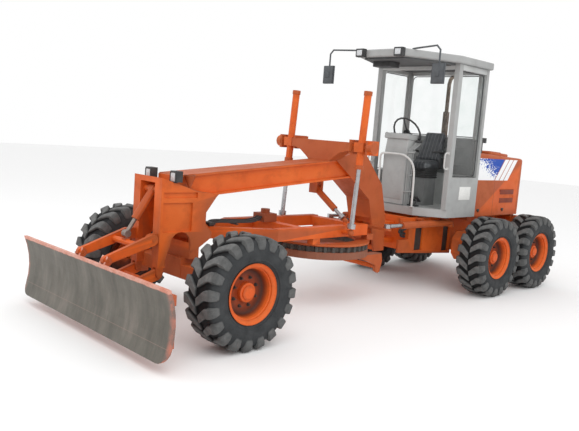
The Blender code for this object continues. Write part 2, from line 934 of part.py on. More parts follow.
def tower_solid():
    outline = [
        (tower_front, tower_top),
        (tower_shelf_rear, tower_shelf_rear_top),
        (tower_rear_corner, beam_low_at(tower_rear_corner) + rib_thickness / 2),
        (tower_rear_corner + rib_depth, beam_low_at(tower_rear_corner) - rib_thickness / 2),
        (tower_rear_waist, tower_rear_waist_high),
        (tower_rear_waist, tower_rear_waist_low),
        (tower_lobe_rear, tower_lobe_high),
        (tower_lobe_rear, tower_lobe_high - (tower_lobe_high - tower_lobe_low) / 2),
        (tower_rear_waist, tower_lobe_low),
        (tower_rear_foot, tower_rear_foot_z),
        (arch_rear_x, tower_rear_foot_z),
    ]
    arch_steps = 6
    for step in range(arch_steps + 1):
        angle = math.pi * (1 - step / arch_steps)
        outline.append((arch_x + arch_radius * math.cos(angle), arch_z + arch_radius * math.sin(angle)))
    outline += [
        (tower_foot_rear, tower_foot_z + (arch_z - tower_foot_z) * 0.35),
        (tower_foot_rear, tower_foot_z),
        (tower_front, tower_foot_z),
    ]
    tower = side_plate(place(outline), -tower_half_width, tower_half_width)
    inner = block(
        (ahead(tower_rear_corner - overrun), -(tower_half_width - tower_plate), tower_foot_z - overrun),
        (ahead(arch_x + arch_radius * 0.6), tower_half_width - tower_plate, panel_low + rib_depth),
    )
    cut(tower, inner)
    for sign in (1.0, -1.0):
        faces = sorted((sign * (tower_half_width - panel_depth), sign * (tower_half_width + overrun)))
        pocket = block(
            (ahead(panel_rear), faces[0], panel_low), (ahead(panel_front), faces[1], panel_high),
        )
        upper = block(
            (ahead(tower_shelf_rear), faces[0], panel_high + rib_thickness * 1.6),
            (ahead(panel_front), faces[1], tower_shelf_rear_top - rib_thickness * 0.4),
        )
        cut(tower, pocket, upper)
    return tower


def beam_low_at(distance):
    share = (distance - beam_front) / (beam_rear - beam_front)
    return beam_front_low + share * (beam_rear_low - beam_front_low)


def beam_high_at(distance):
    share = (distance - beam_front) / (beam_rear - beam_front)
    return beam_front_high + share * (beam_rear_high - beam_front_high)


def main_frame():
    frame = tower_solid()
    beam = side_plate(
        place([
            (beam_front, beam_front_low + bury), (beam_rear, beam_rear_low + bury),
            (beam_rear, beam_rear_high - bury), (beam_front, beam_front_high - bury),
        ]),
        -beam_half_width, beam_half_width,
    )
    flanges = []
    for level, offset in ((beam_low_at, 0.0), (beam_high_at, -flange_thickness)):
        front_x = tower_front if level is beam_low_at else beam_front
        front_x -= bury
        half = beam_half_width + flange_overhang
        flanges.append(side_plate(
            place([
                (front_x - rib_depth, level(front_x - rib_depth) + offset),
                (beam_rear + rib_depth, level(beam_rear + rib_depth) + offset),
                (beam_rear + rib_depth, level(beam_rear + rib_depth) + offset + flange_thickness),
                (front_x - rib_depth, level(front_x - rib_depth) + offset + flange_thickness),
            ]),
            -half, half,
        ))
    fuse(frame, beam, *flanges)
    channel = block(
        (ahead(tower_front - channel_depth), -channel_half_width, tower_foot_z - overrun),
        (ahead(tower_front + overrun), channel_half_width, channel_top - rib_thickness),
    )
    cut(frame, channel)
    fuse(frame, *neck_pieces())
    fuse(frame, *drawbar_seat(), *shift_bracket(), *dozer_mounts())
    cut(frame, *dozer_mount_bores())
    node("main_frame", frame, "orange_paint", (ahead(-articulation_setback), 0.0, 0.0))


def neck_pieces():
    outline = [
        neck_top_front, neck_top_crest, neck_top_rear, neck_outer_knee, neck_outer_low, neck_foot_rear,
        neck_foot_front, neck_inner_low, neck_inner_knee, neck_inner_top,
    ]
    neck = side_plate(place(outline), -neck_half_width, neck_half_width)
    pocket = block(
        (ahead(neck_foot_rear[0] - overrun), -neck_half_width + neck_plate, neck_foot_rear[1] - overrun),
        (ahead(neck_inner_low[0] + overrun), neck_half_width - neck_plate, neck_outer_low[1] - overrun),
    )
    cut(neck, pocket)
    pieces = [neck]
    hinge_x = ahead(-articulation_setback)
    for low in (hinge_low - hinge_ear_thickness, hinge_high):
        pieces.append(block(
            (ahead(neck_foot_rear[0] + bury), -neck_half_width + neck_plate / 2, low),
            (ahead(neck_foot_front[0] - bury), neck_half_width - neck_plate / 2, low + hinge_ear_thickness),
        ))
    pieces.append(rod(
        (hinge_x, 0.0, hinge_low - hinge_ear_thickness + bury),
        (hinge_x, 0.0, hinge_high + hinge_ear_thickness - bury), hinge_pin_radius,
    ))
    pin_x, pin_y = articulation_front_pin
    ear_high = articulation_cylinder_z - eye_height / 2 - seat_gap
    for sign in (1.0, -1.0):
        pieces.append(floor_plate(
            tongue(
                (ahead(pin_x), sign * (neck_half_width - neck_plate / 2)), (ahead(pin_x), sign * pin_y), ear_radius,
            ),
            ear_high - ear_plate, ear_high,
        ))
    return pieces


def drawbar_seat():
    # The ball on its stalk, behind the tower
    ball_at = (ahead(drawbar_ball_x - drawbar_ball_radius), 0.0, drawbar_ball_z)
    stalk = rod(
        (ahead(tower_rear_waist + tower_plate), 0.0, drawbar_ball_z), ball_at, drawbar_ball_radius * 0.55,
    )
    cross = block(
        (ahead(tower_rear_waist), -(tower_half_width - tower_plate / 2), tower_lobe_low + bury),
        (
            ahead(tower_rear_waist + 2 * tower_plate), tower_half_width - tower_plate / 2, tower_lobe_high + 2 * rib_depth,
        ),
    )
    axle_seat = block(
        (
            ahead(tower_rear_waist + 2 * tower_plate - bury), -(tower_half_width - tower_plate / 2), axle_middle_high + seat_gap,
        ),
        (ahead(arch_rear_x - bury), tower_half_width - tower_plate / 2, tower_lobe_low + 2 * bury),
    )
    return [cross, stalk, swing_ball(ball_at, drawbar_ball_radius), axle_seat]


def shift_bracket():
    x, y, z = shift_top
    reach = shift_barrel_radius + seat_gap
    cheeks = []
    for sign in (1.0, -1.0):
        near = ahead(x) + sign * reach
        far = near + sign * tower_plate
        faces = sorted((near, far))
        cheeks.append(block(
            (faces[0], y - shift_bracket_half, z - shift_bracket_half),
            (faces[1], y + shift_bracket_half, beam_low_at(x) + flange_thickness),
        ))
    return cheeks


def dozer_mounts():
    # Ears for the arms, inside only at the top and on both sides under the column's foot
    ears = []
    for sign in (1.0, -1.0):
        near = sign * (upper_arm_y - dozer_arm_half_thickness - seat_gap)
        far = near - sign * mount_ear_thickness
        faces = sorted((near, far))
        ears.append(side_plate(
            tongue(
                (ahead(tower_front - bury), upper_rear_pin[1]), place([upper_rear_pin])[0], upper_ear_half,
            ), *faces,
        ))
        for offset in (-1.0, 1.0):
            near = sign * lower_arm_y + offset * (dozer_arm_half_thickness + seat_gap)
            far = near + offset * blade_lug_plate
            faces = sorted((near, far))
            ears.append(side_plate(
                tongue(
                    (ahead(lower_rear_pin[0]), tower_foot_z + bury), place([lower_rear_pin])[0], lower_ear_half,
                ), *faces,
            ))
    pin_x, pin_z = dozer_cylinder_top
    for sign in (1.0, -1.0):
        near = sign * (dozer_barrel_radius + seat_gap)
        far = sign * (channel_half_width + bury)
        faces = sorted((near, far))
        ears.append(rod((ahead(pin_x), faces[0], pin_z), (ahead(pin_x), faces[1], pin_z), dozer_eye_radius))
    return ears


def dozer_mount_bores():
    reach = tower_half_width + overrun
    return [
        bore((x, -reach, z), (x, reach, z), dozer_pin_radius) for x, z in place(
            [upper_rear_pin, lower_rear_pin]
        )
    ]


def headlamp(side, sign):
    y = sign * headlamp_y
    shelf_slope = (tower_top - tower_shelf_rear_top) / (tower_front - tower_shelf_rear)
    shelf = tower_top - shelf_slope * (tower_front - headlamp_mount_x - headlamp_stem_radius)
    body = block(
        (
            ahead(headlamp_mount_x) - headlamp_depth / 2, y - headlamp_half_width, headlamp_z - headlamp_half_height,
        ),
        (
            ahead(headlamp_mount_x) + headlamp_depth / 2, y + headlamp_half_width, headlamp_z + headlamp_half_height,
        ),
    )
    stem = rod(
        (ahead(headlamp_mount_x), y, shelf + seat_gap), (ahead(headlamp_mount_x), y, headlamp_z),
        headlamp_stem_radius, 10,
    )
    fuse(body, stem)
    node(f"headlamp_{side}", body, "lamp_body")


# Saddle and lift cylinders

def saddle():
    half = fork_inner_y
    outline = [
        (-half, saddle_high), (-half, saddle_arch_high - bury), (-saddle_arch_outer_y, saddle_arch_high),
    ]
    middle_y = (saddle_arch_inner_y + saddle_arch_outer_y) / 2
    left = [
        (-middle_y, saddle_arch_high - (saddle_arch_high - saddle_low_middle) * 0.22),
        (-saddle_arch_inner_y, saddle_low_middle + (saddle_arch_high - saddle_low_middle) * 0.2),
        (-saddle_arch_inner_y + rib_depth, saddle_low_middle),
    ]
    outline += left
    outline += [(-y, z) for y, z in left[::-1]]
    outline += [
        (saddle_arch_outer_y, saddle_arch_high), (half, saddle_arch_high - bury), (half, saddle_high),
    ]
    x = ahead(saddle_x)
    body = cross_plate_solid(outline, x - saddle_half_depth, x + saddle_half_depth)
    clear = side_plate(
        [
            (x - 4 * saddle_half_depth, beam_high_at(saddle_x - 4 * saddle_half_depth) + 2 * seat_gap),
            (x + 4 * saddle_half_depth, beam_high_at(saddle_x + 4 * saddle_half_depth) + 2 * seat_gap),
            (x + 4 * saddle_half_depth, saddle_low_middle - saddle_half_depth),
            (x - 4 * saddle_half_depth, saddle_low_middle - saddle_half_depth),
        ],
        -beam_half_width * 2, beam_half_width * 2,
    )
    cut(body, clear)
    neck_clear = side_plate(
        [
            (ahead(neck_top_front[0]) + 2 * seat_gap, neck_top_front[1] + 2 * seat_gap),
            (ahead(neck_top_crest[0]), neck_top_crest[1] + 3 * seat_gap),
            (ahead(neck_top_crest[0]), neck_top_front[1] - saddle_half_depth),
            (ahead(neck_top_front[0]) + 2 * seat_gap, neck_top_front[1] - saddle_half_depth),
        ],
        -neck_half_width - 2 * seat_gap, neck_half_width + 2 * seat_gap,
    )
    cut(body, neck_clear)
    for sign in (1.0, -1.0):
        fork = []
        for cheek_y, inward in ((fork_inner_y, 1.0), (fork_outer_y, -1.0)):
            faces = sorted((sign * (cheek_y - fork_cheek * (0.5 + 0.5 * inward)),
                            sign * (cheek_y + fork_cheek * (0.5 - 0.5 * inward))))
            fork.append(block(
                (ahead(fork_back_x), faces[0], trunnion_z - fork_half_height),
                (x + fork_half_height * 0.7, faces[1], trunnion_z + fork_half_height),
            ))
        back = sorted((sign * (fork_inner_y - fork_cheek + bury), sign * (fork_outer_y + bury)))
        fork.append(block(
            (ahead(fork_back_x) - fork_back_thickness, back[0], trunnion_z - fork_half_height + bury),
            (ahead(fork_back_x) + bury, back[1], trunnion_z + fork_half_height - bury),
        ))
        drum = sorted((sign * (fork_outer_y + fork_cheek / 2), sign * (fork_outer_y + drum_length)))
        fork.append(rod((x, drum[0], trunnion_z), (x, drum[1], trunnion_z), drum_radius, 20))
        fuse(body, *fork)
        reach = sorted((sign * (fork_inner_y - fork_cheek), sign * (fork_outer_y + fork_cheek)))
        cut(body, rod((x, reach[0], trunnion_z), (x, reach[1], trunnion_z), trunnion_pin_radius + pin_gap))
    node("lift_saddle", body, "orange_paint")


def lift_cylinder(side, sign):
    x = ahead(saddle_x)
    y = sign * lift_cylinder_y
    tip = Vector((ahead(-lift_ball_setback), y, lift_ball_z))
    pivot = Vector((x, y, trunnion_z))
    down = (tip - pivot).normalized()

    def along(height):
        return pivot + down * (trunnion_z - height)

    barrel = rod(along(lift_barrel_high), along(lift_barrel_low), lift_barrel_radius)
    collar = rod(along(lift_barrel_low + lift_collar_height), along(lift_barrel_low), lift_collar_radius)
    cap = rod(
        along(lift_barrel_high), along(lift_barrel_high - lift_collar_height), lift_collar_radius * 0.93,
    )
    block_low = (
        x - trunnion_block_half * 0.8, y - trunnion_block_half, trunnion_z - trunnion_block_half * 0.8,
    )
    block_high = (
        x + trunnion_block_half * 0.8, y + trunnion_block_half, trunnion_z + trunnion_block_half * 0.8,
    )
    pin = rod(
        (x, y - trunnion_pin_half, trunnion_z), (x, y + trunnion_pin_half, trunnion_z), trunnion_pin_radius,
    )
    fuse(barrel, collar, cap, block(block_low, block_high), pin)
    bore_end = along(lift_barrel_high - lift_collar_height / 2)
    cut(barrel, rod(bore_end, along(lift_barrel_low - overrun), lift_rod_radius + pin_gap))
    node(f"lift_barrel_{side}", barrel, "orange_paint", pivot)
    eye_low = lift_ball_z + lift_ball_radius + running_gap
    stem = rod(along(lift_rod_top), along(eye_low + bury), lift_rod_radius)
    fuse(stem, rod(along(eye_low + lift_eye_height), along(eye_low), lift_eye_radius))
    node(f"lift_rod_{side}", stem, "chrome_rod", tip)


# Drawbar and circle

def drawbar():
    socket_x = ahead(drawbar_ball_x - drawbar_ball_radius)
    socket = ball((socket_x, 0.0, drawbar_ball_z), drawbar_socket_radius)
    open_front = block(
        (
            socket_x + drawbar_ball_radius * 0.35, -drawbar_socket_radius * 2, drawbar_ball_z - drawbar_socket_radius * 2,
        ),
        (
            socket_x + drawbar_socket_radius * 2, drawbar_socket_radius * 2, drawbar_ball_z + drawbar_socket_radius * 2,
        ),
    )
    cut(socket, open_front)
    pieces = []
    for sign in (1.0, -1.0):
        diagonal = [
            (ahead(drawbar_neck_x), sign * (rail_neck_y - rail_half_width)),
            (ahead(drawbar_neck_x), sign * rail_neck_y),
            (ahead(rail_kink_x), sign * (rail_y + rail_half_width)),
            (ahead(rail_kink_x) - rail_half_width, sign * (rail_y - rail_half_width)),
        ]
        if sign < 0:
            diagonal = diagonal[::-1]
        pieces.append(floor_plate(diagonal, rail_low + bury, rail_high - bury))
        rail_sides = sorted((sign * (rail_y - rail_half_width), sign * (rail_y + rail_half_width)))
        pieces.append(block(
            (ahead(rail_rear_x), rail_sides[0], rail_low), (ahead(rail_kink_x), rail_sides[1], rail_high),
        ))
        boss = sorted((sign * rail_y, sign * lift_cylinder_y))
        ball_x = ahead(-lift_ball_setback)
        pieces.append(
            rod((ball_x, boss[0], lift_ball_z), (ball_x, boss[1], lift_ball_z), lift_ball_radius * 0.7)
        )
        pieces.append(ball((ball_x, sign * lift_cylinder_y, lift_ball_z), lift_ball_radius, 5))
    for cross_x in (cross_front_x, cross_rear_x):
        pieces.append(block(
            (ahead(cross_x) - cross_half_depth, -rail_y, rail_low + bury),
            (ahead(cross_x) + cross_half_depth, rail_y, rail_high - 2 * bury),
        ))
    shift_ball = (ahead(shift_low[0]), shift_low[1], shift_low[2])
    pieces.append(rod((*shift_ball[:2], rail_high - 2 * bury), shift_ball, shift_ball_radius * 0.6))
    pieces.append(ball(shift_ball, shift_ball_radius, 5))
    neck = block(
        (ahead(drawbar_neck_x) - 2 * rail_half_width, -rail_neck_y + bury, rail_low + 2 * bury),
        (socket_x - drawbar_ball_radius, rail_neck_y - bury, rail_high - 2 * bury),
    )
    fuse(socket, neck, *pieces)
    centre = (ahead(-circle_setback), 0.0)
    table = ring(
        (*centre, (table_low + table_high) / 2), table_inner_radius, table_radius, table_high - table_low, 32,
    )
    fuse(socket, table)
    for cross_x in (cross_front_x, cross_rear_x):
        for sign in (1.0, -1.0):
            post = sorted((sign * (rail_y - rail_half_width * 0.9), sign * (rail_y + rail_half_width * 0.9)))
            toward = 1.0 if cross_x == cross_front_x else -1.0
            post_x = ahead(-circle_setback + toward * table_radius * 0.72)
            fuse(socket, block(
                (post_x - cross_half_depth, post[0], table_high - bury),
                (post_x + cross_half_depth, post[1], rail_low + bury),
            ))
    wear = ring(
        (*centre, (circle_top + seat_gap + table_low + bury) / 2), wear_ring_inner, wear_ring_outer,
        table_low + bury - circle_top - seat_gap, 32,
    )
    fuse(socket, wear)
    hollow = swing_ball(
        (socket_x, 0.0, drawbar_ball_z), drawbar_ball_radius + pin_gap, 1 / math.cos(math.pi / 12), 1.0,
    )
    cut(socket, hollow)
    node("drawbar", socket, "orange_paint", (socket_x, 0.0, drawbar_ball_z))


def gear_outline(teeth, root, tip):
    pitch = 2 * math.pi / teeth
    points = []
    for tooth in range(teeth):
        middle = tooth * pitch
        for share, radius in (
            (-tooth_root_share, root), (-tooth_tip_share, tip), (tooth_tip_share, tip), (tooth_root_share, root),
        ):
            angle = middle + share * pitch
            points.append((radius * math.cos(angle), radius * math.sin(angle)))
    return points


def circle():
    centre_x = ahead(-circle_setback)
    band = ring(
        (centre_x, 0.0, (circle_low + circle_teeth_low) / 2), circle_inner_radius, circle_band_radius,
        circle_teeth_low - circle_low, circle_teeth,
    )
    teeth = floor_plate(
        [(x + centre_x, y) for x, y in gear_outline(circle_teeth, circle_root_radius, circle_tip_radius)],
        circle_teeth_low - bury, circle_top,
    )
    middle = rod(
        (centre_x, 0.0, circle_teeth_low - overrun), (centre_x, 0.0, circle_top + overrun),
        circle_inner_radius + bury, circle_teeth,
    )
    cut(teeth, middle)
    fuse(band, teeth)
    length = arm_rear_x - arm_front_x
    height = arm_high - arm_low
    outline = [(arm_front_x + length * along, arm_low + height * up) for along, up in arm_outline_shares]
    for sign in (1.0, -1.0):
        fuse(band, side_plate(
            place(outline), sign * arm_y - arm_half_thickness, sign * arm_y + arm_half_thickness,
        ))
    shaft = rod(
        (ahead(tilt_shaft_x), -arm_y, tilt_shaft_z), (ahead(tilt_shaft_x), arm_y, tilt_shaft_z), tilt_shaft_radius,
    )
    fuse(band, shaft)
    node("circle", band, "orange_paint", (centre_x, 0.0, circle_top))


def circle_drive():
    x = ahead(circle_drive_x)
    y = circle_drive_y
    base = rail_high - 2 * bury + seat_gap
    box = block(
        (x - circle_drive_half, y - circle_drive_half, base),
        (x + circle_drive_half, y + circle_drive_half, circle_drive_high + 2 * rib_depth),
    )
    motor = rod((x, y, circle_drive_high), (x, y, circle_motor_high + rib_depth), circle_motor_radius)
    fuse(box, motor)
    node("circle_drive", box, "black_plastic")


def shift_cylinder():
    top = Vector((ahead(shift_top[0]), *shift_top[1:]))
    low = Vector((ahead(shift_low[0]), *shift_low[1:]))
    run = low - top
    barrel = rod(top, top + run * shift_barrel_share, shift_barrel_radius)
    eye = rod(
        top - Vector((shift_eye_radius, 0.0, 0.0)), top + Vector((shift_eye_radius, 0.0, 0.0)), shift_eye_radius * 1.1,
    )
    fuse(barrel, eye)
    cut(barrel, rod(
        top + run.normalized() * shift_eye_radius * 1.5, top + run * (shift_barrel_share + overrun),
        shift_rod_radius + pin_gap,
    ))
    node("shift_barrel", barrel, "orange_paint", top)
    cup_end = low - run.normalized() * (shift_ball_radius + running_gap)
    stem = rod(top + run * shift_rod_tail_share, cup_end - run.normalized() * bury, shift_rod_radius)
    fuse(stem, rod(cup_end - run.normalized() * shift_cup_height, cup_end, shift_eye_radius))
    node("shift_rod", stem, "chrome_rod", low)


# Dozer

def blade_x_at(share):
    # The back of the plate is an arc: both edges reach forward of its middle
    return blade_back_x + blade_reach * (2 * share - 1) ** 2


def blade_plate_x(height):
    # The middle of the plate's thickness at a height above the ground
    return blade_x_at((height - blade_low) / blade_height) + blade_plate / 2


def blade_corner_cutter(sign):
    # What is left of a square when a quarter circle is taken from it, at the blade's lower corner
    side = sign * blade_half_width
    centre = (side - sign * blade_corner, blade_low + blade_corner)
    points = [(side + sign * overrun, blade_low - overrun), (side + sign * overrun, centre[1])]
    for step in range(blade_corner_steps + 1):
        angle = math.pi / 2 * step / blade_corner_steps
        points.append(
            (centre[0] + sign * blade_corner * math.cos(angle), centre[1] - blade_corner * math.sin(angle))
        )
    points.append((centre[0], blade_low - overrun))
    return cross_plate_solid(
        points, ahead(blade_back_x - overrun), ahead(blade_back_x + blade_reach + blade_plate + overrun),
    )


def blade_lug_outline(pin):
    # From the plate's middle to a round end about the pin
    pin_x, pin_z = pin
    high = min(pin_z + blade_lug_radius * 1.5, blade_low + blade_height - blade_plate)
    low = pin_z - blade_lug_radius * 2.5
    points = [(blade_plate_x(low), low), (blade_plate_x(high), high)]
    steps = 5
    for step in range(steps + 1):
        angle = math.pi * (0.5 + step / steps)
        points.append(
            (pin_x + blade_lug_radius * math.cos(angle), pin_z + blade_lug_radius * math.sin(angle))
        )
    return points


def dozer_blade():
    steps = [step / blade_curve_steps for step in range(blade_curve_steps + 1)]
    front = [(blade_x_at(share) + blade_plate, blade_low + blade_height * share) for share in steps]
    back = [(blade_x_at(share), blade_low + blade_height * share) for share in steps]
    blade = side_plate(place(front + back[::-1]), -blade_half_width, blade_half_width)
    for sign in (1.0, -1.0):
        cut(blade, blade_corner_cutter(sign))
    for share in blade_rib_z_shares:
        middle = blade_low + blade_height * share
        rib = block(
            (ahead(blade_back_x - blade_rib_depth), -blade_half_width * blade_rib_length_share,
             middle - blade_rib_half_height),
            (ahead(blade_x_at(share) + blade_plate / 2), blade_half_width * blade_rib_length_share,
             middle + blade_rib_half_height),
        )
        fuse(blade, rib)
    for pin, arm_y_at in ((upper_front_pin, upper_arm_y), (lower_front_pin, lower_arm_y)):
        for sign in (1.0, -1.0):
            for offset in (-1.0, 1.0):
                near = sign * arm_y_at + offset * (dozer_arm_half_thickness + seat_gap)
                far = near + offset * blade_lug_plate
                faces = sorted((near, far))
                lug = side_plate(place(blade_lug_outline(pin)), *faces)
                cut(lug, bore(
                    (ahead(pin[0]), faces[0] - overrun, pin[1]), (ahead(pin[0]), faces[1] + overrun, pin[1]),
                    dozer_pin_radius,
                ))
                fuse(blade, lug)
    node("dozer_blade", blade, "blade_steel", (ahead(upper_front_pin[0]), 0.0, upper_front_pin[1]))


def dozer_arm_set(name, rear_pin, front_pin, side_y, pin_inner, pin_outer):
    # Two tapered bars joined by a cross tube. The last two say how far the rear pins reach from a bar's middle
    rear = Vector((ahead(rear_pin[0]), 0.0, rear_pin[1]))
    front = Vector((ahead(front_pin[0]), 0.0, front_pin[1]))
    cross = rear + (front - rear) * upper_cross_share
    base = rod((cross.x, -side_y, cross.z), (cross.x, side_y, cross.z), upper_cross_radius)
    run = (front - rear).normalized()
    side = Vector((-run.z, 0.0, run.x))
    heading = math.atan2(run.z, run.x)
    outline = []
    steps = 4
    for end, half, turn in (
        (front, dozer_arm_front_half, -math.pi / 2), (rear, dozer_arm_rear_half, math.pi / 2),
    ):
        for step in range(steps + 1):
            angle = heading + turn + math.pi * step / steps
            outline.append((end.x + half * math.cos(angle), end.z + half * math.sin(angle)))
    lug_reach = dozer_arm_half_thickness + blade_lug_plate
    for sign in (1.0, -1.0):
        fuse(base, side_plate(
            outline, sign * side_y - dozer_arm_half_thickness, sign * side_y + dozer_arm_half_thickness,
        ))
        pins = (
            (rear, sorted((sign * (side_y - pin_inner), sign * (side_y + pin_outer)))),
            (front, (sign * side_y - lug_reach, sign * side_y + lug_reach)),
        )
        for end, reach in pins:
            fuse(base, rod((end.x, reach[0], end.z), (end.x, reach[1], end.z), dozer_pin_radius))
    if name == "dozer_upper_arms":
        lug_top = cross + Vector((0.0, 0.0, dozer_eye_lift - dozer_eye_radius - 2 * running_gap))
        fuse(base, block(
            (cross.x - upper_cross_radius * 0.8, -dozer_eye_radius, cross.z),
            (cross.x + upper_cross_radius * 0.8, dozer_eye_radius, lug_top.z),
        ))
    node(name, base, "orange_paint", rear)


def dozer_linkage():
    half = dozer_arm_half_thickness
    dozer_arm_set(
        "dozer_upper_arms", upper_rear_pin, upper_front_pin, upper_arm_y, half + mount_ear_thickness, half + bury,
    )
    dozer_arm_set(
        "dozer_lower_arms", lower_rear_pin, lower_front_pin, lower_arm_y, half + blade_lug_plate, half + blade_lug_plate,
    )
    top = Vector((ahead(dozer_cylinder_top[0]), 0.0, dozer_cylinder_top[1]))
    low = Vector((
        ahead(upper_rear_pin[0] + dozer_arm_run * upper_cross_share), 0.0,
        upper_rear_pin[1] - dozer_arm_drop * upper_cross_share + dozer_eye_lift,
    ))
    run = low - top
    barrel = rod(top, top + run * dozer_barrel_share, dozer_barrel_radius)
    fuse(barrel, rod(
        top - Vector((0.0, dozer_barrel_radius, 0.0)), top + Vector((0.0, dozer_barrel_radius, 0.0)),
        dozer_eye_radius * 1.2,
    ))
    cut(barrel, rod(
        top + run.normalized() * dozer_eye_radius * 2, top + run * (dozer_barrel_share + overrun),
        dozer_rod_radius + pin_gap,
    ))
    node("dozer_barrel", barrel, "orange_paint", top)
    stem = rod(top + run * dozer_rod_tail_share, low, dozer_rod_radius)
    fuse(stem, rod(
        low - Vector((0.0, dozer_eye_radius, 0.0)), low + Vector((0.0, dozer_eye_radius, 0.0)), dozer_eye_radius,
    ))
    node("dozer_rod", stem, "chrome_rod", low)


# Rear frame

def rear_frame():
    outline = [
        (frame_front, frame_high), (frame_rear, frame_high), (frame_rear, frame_low_rear),
        (frame_step_x - rib_depth, frame_low_rear), (frame_step_x, frame_low_step), (frame_front, frame_low_front),
        (frame_front, frame_notch_low), (frame_notch_rear, frame_notch_low),
        (frame_notch_rear, frame_notch_high), (frame_front, frame_notch_high),
    ]
    frame = side_plate(place(outline), frame_y - frame_plate, frame_y)
    fuse_list = [side_plate(place(outline), -frame_y, -frame_y + frame_plate)]
    for cross_x in rear_cross_x:
        fuse_list.append(block(
            (ahead(cross_x) - cross_plate, -frame_y + frame_plate / 2, frame_low_rear + bury),
            (ahead(cross_x) + cross_plate, frame_y - frame_plate / 2, frame_low_rear + 3 * cross_plate),
        ))
    for bearer_x in hood_bearer_x:
        fuse_list.append(block(
            (ahead(bearer_x) - cross_plate, -hood_half_width + hood_corner, hood_low - hood_bearer_height),
            (ahead(bearer_x) + cross_plate, hood_half_width - hood_corner, hood_low - seat_gap),
        ))
    fuse_list.append(block(
        (ahead(nose_rear), -frame_y + frame_plate / 2, frame_low_front + 2 * bury),
        (ahead(nose_front) - bury, frame_y - frame_plate / 2, frame_high - bury),
    ))
    for lug_low in (hinge_low + seat_gap, hinge_high - seat_gap - hinge_lug_plate):
        fuse_list.append(floor_plate(
            tongue(
                (ahead(nose_front) - 2 * bury, 0.0), (ahead(-articulation_setback), 0.0), hinge_lug_radius,
            ),
            lug_low, lug_low + hinge_lug_plate,
        ))
    fuse_list.append(block(
        (ahead(frame_rear) - bumper_depth / 2, -bumper_half_width, bumper_low),
        (ahead(frame_rear) + bumper_depth / 2, bumper_half_width, bumper_high),
    ))
    pin_x, pin_y = articulation_rear_pin
    ear_high = articulation_cylinder_z - eye_height / 2 - seat_gap
    for sign in (1.0, -1.0):
        fuse_list.append(floor_plate(
            tongue(
                (ahead(pin_x), sign * (frame_y - frame_plate / 2)), (ahead(pin_x), sign * pin_y), ear_radius,
            ),
            ear_high - ear_plate, ear_high,
        ))
    fuse(frame, *fuse_list)
    hinge_x = ahead(-articulation_setback)
    cut(
        frame, bore(
            (hinge_x, 0.0, hinge_low - overrun), (hinge_x, 0.0, hinge_high + overrun), hinge_pin_radius,
        ),
    )
    for (front, rear), low in zip(frame_window_x, frame_window_low):
        cut(frame, block(
            (ahead(rear), -frame_y - overrun, low), (ahead(front), frame_y + overrun, frame_window_high),
        ))
    node("rear_frame", frame, "orange_paint")


def rear_axle():
    middle = ahead(-tandem_front_setback - tandem_spacing / 2)
    tube_solid = rod(
        (middle, -tandem_case_inner_y - bury, tyre_radius), (middle, tandem_case_inner_y + bury, tyre_radius),
        axle_tube_radius, 20,
    )
    case_front = ahead(-tandem_front_setback)
    case_rear = ahead(-tandem_front_setback - tandem_spacing)
    end_x = case_front + tandem_case_overhang
    start_x = case_rear - tandem_case_overhang
    chamfer = tandem_case_chamfer
    case_outline = [
        (end_x, tandem_case_low + chamfer), (end_x, tandem_case_high - chamfer), (
            end_x - chamfer, tandem_case_high,
        ),
        (start_x + chamfer, tandem_case_high), (start_x, tandem_case_high - chamfer),
        (start_x, tandem_case_low + chamfer), (start_x + chamfer, tandem_case_low), (
            end_x - chamfer, tandem_case_low,
        ),
    ]
    for sign in (1.0, -1.0):
        sides = sorted((sign * tandem_case_inner_y, sign * tandem_case_outer_y))
        fuse(tube_solid, side_plate(case_outline, sides[0], sides[1]))
        for end_x in (case_front, case_rear):
            spindle = sorted((sign * (tandem_case_outer_y - bury), sign * hub_face_y))
            fuse(
                tube_solid, rod(
                    (end_x, spindle[0], tyre_radius), (end_x, spindle[1], tyre_radius), spindle_radius,
                ),
            )
    for sign in (1.0, -1.0):
        pad = sorted((sign * (frame_y - 2 * frame_plate), sign * (frame_y + frame_plate)))
        fuse(tube_solid, block(
            (middle - axle_saddle_half, pad[0], tyre_radius), (
                middle + axle_saddle_half, pad[1], frame_low_rear - seat_gap,
            ),
        ))
    node("rear_axle", tube_solid, "orange_paint")


def articulation_cylinder(side, sign):
    rear = Vector((ahead(articulation_rear_pin[0]), sign * articulation_rear_pin[1], articulation_cylinder_z))
    front = Vector(
        (ahead(articulation_front_pin[0]), sign * articulation_front_pin[1], articulation_cylinder_z)
    )
    run = (front - rear).normalized()
    barrel_end = rear + run * articulation_barrel_length
    barrel = rod(rear + run * eye_radius * 0.6, barrel_end, articulation_barrel_radius)
    up = Vector((0.0, 0.0, eye_height / 2))
    fuse(barrel, rod(rear - up, rear + up, eye_radius))
    clear_below = block(
        (rear.x - 2 * eye_radius, rear.y - 2 * eye_radius, rear.z - 3 * eye_height),
        (rear.x + ear_radius * 1.6, rear.y + 2 * eye_radius, rear.z - eye_height / 2),
    )
    cut(barrel, clear_below)
    cut(barrel, rod(
        rear + run * eye_radius * 1.6, barrel_end + run * overrun, articulation_rod_radius + pin_gap,
    ))
    node(f"articulation_barrel_{side}", barrel, "orange_paint", rear)
    stem = rod(rear + run * articulation_rod_tail, front, articulation_rod_radius)
    fuse(stem, rod(front - up, front + up, eye_radius))
    node(f"articulation_rod_{side}", stem, "chrome_rod", front)


# Engine bay

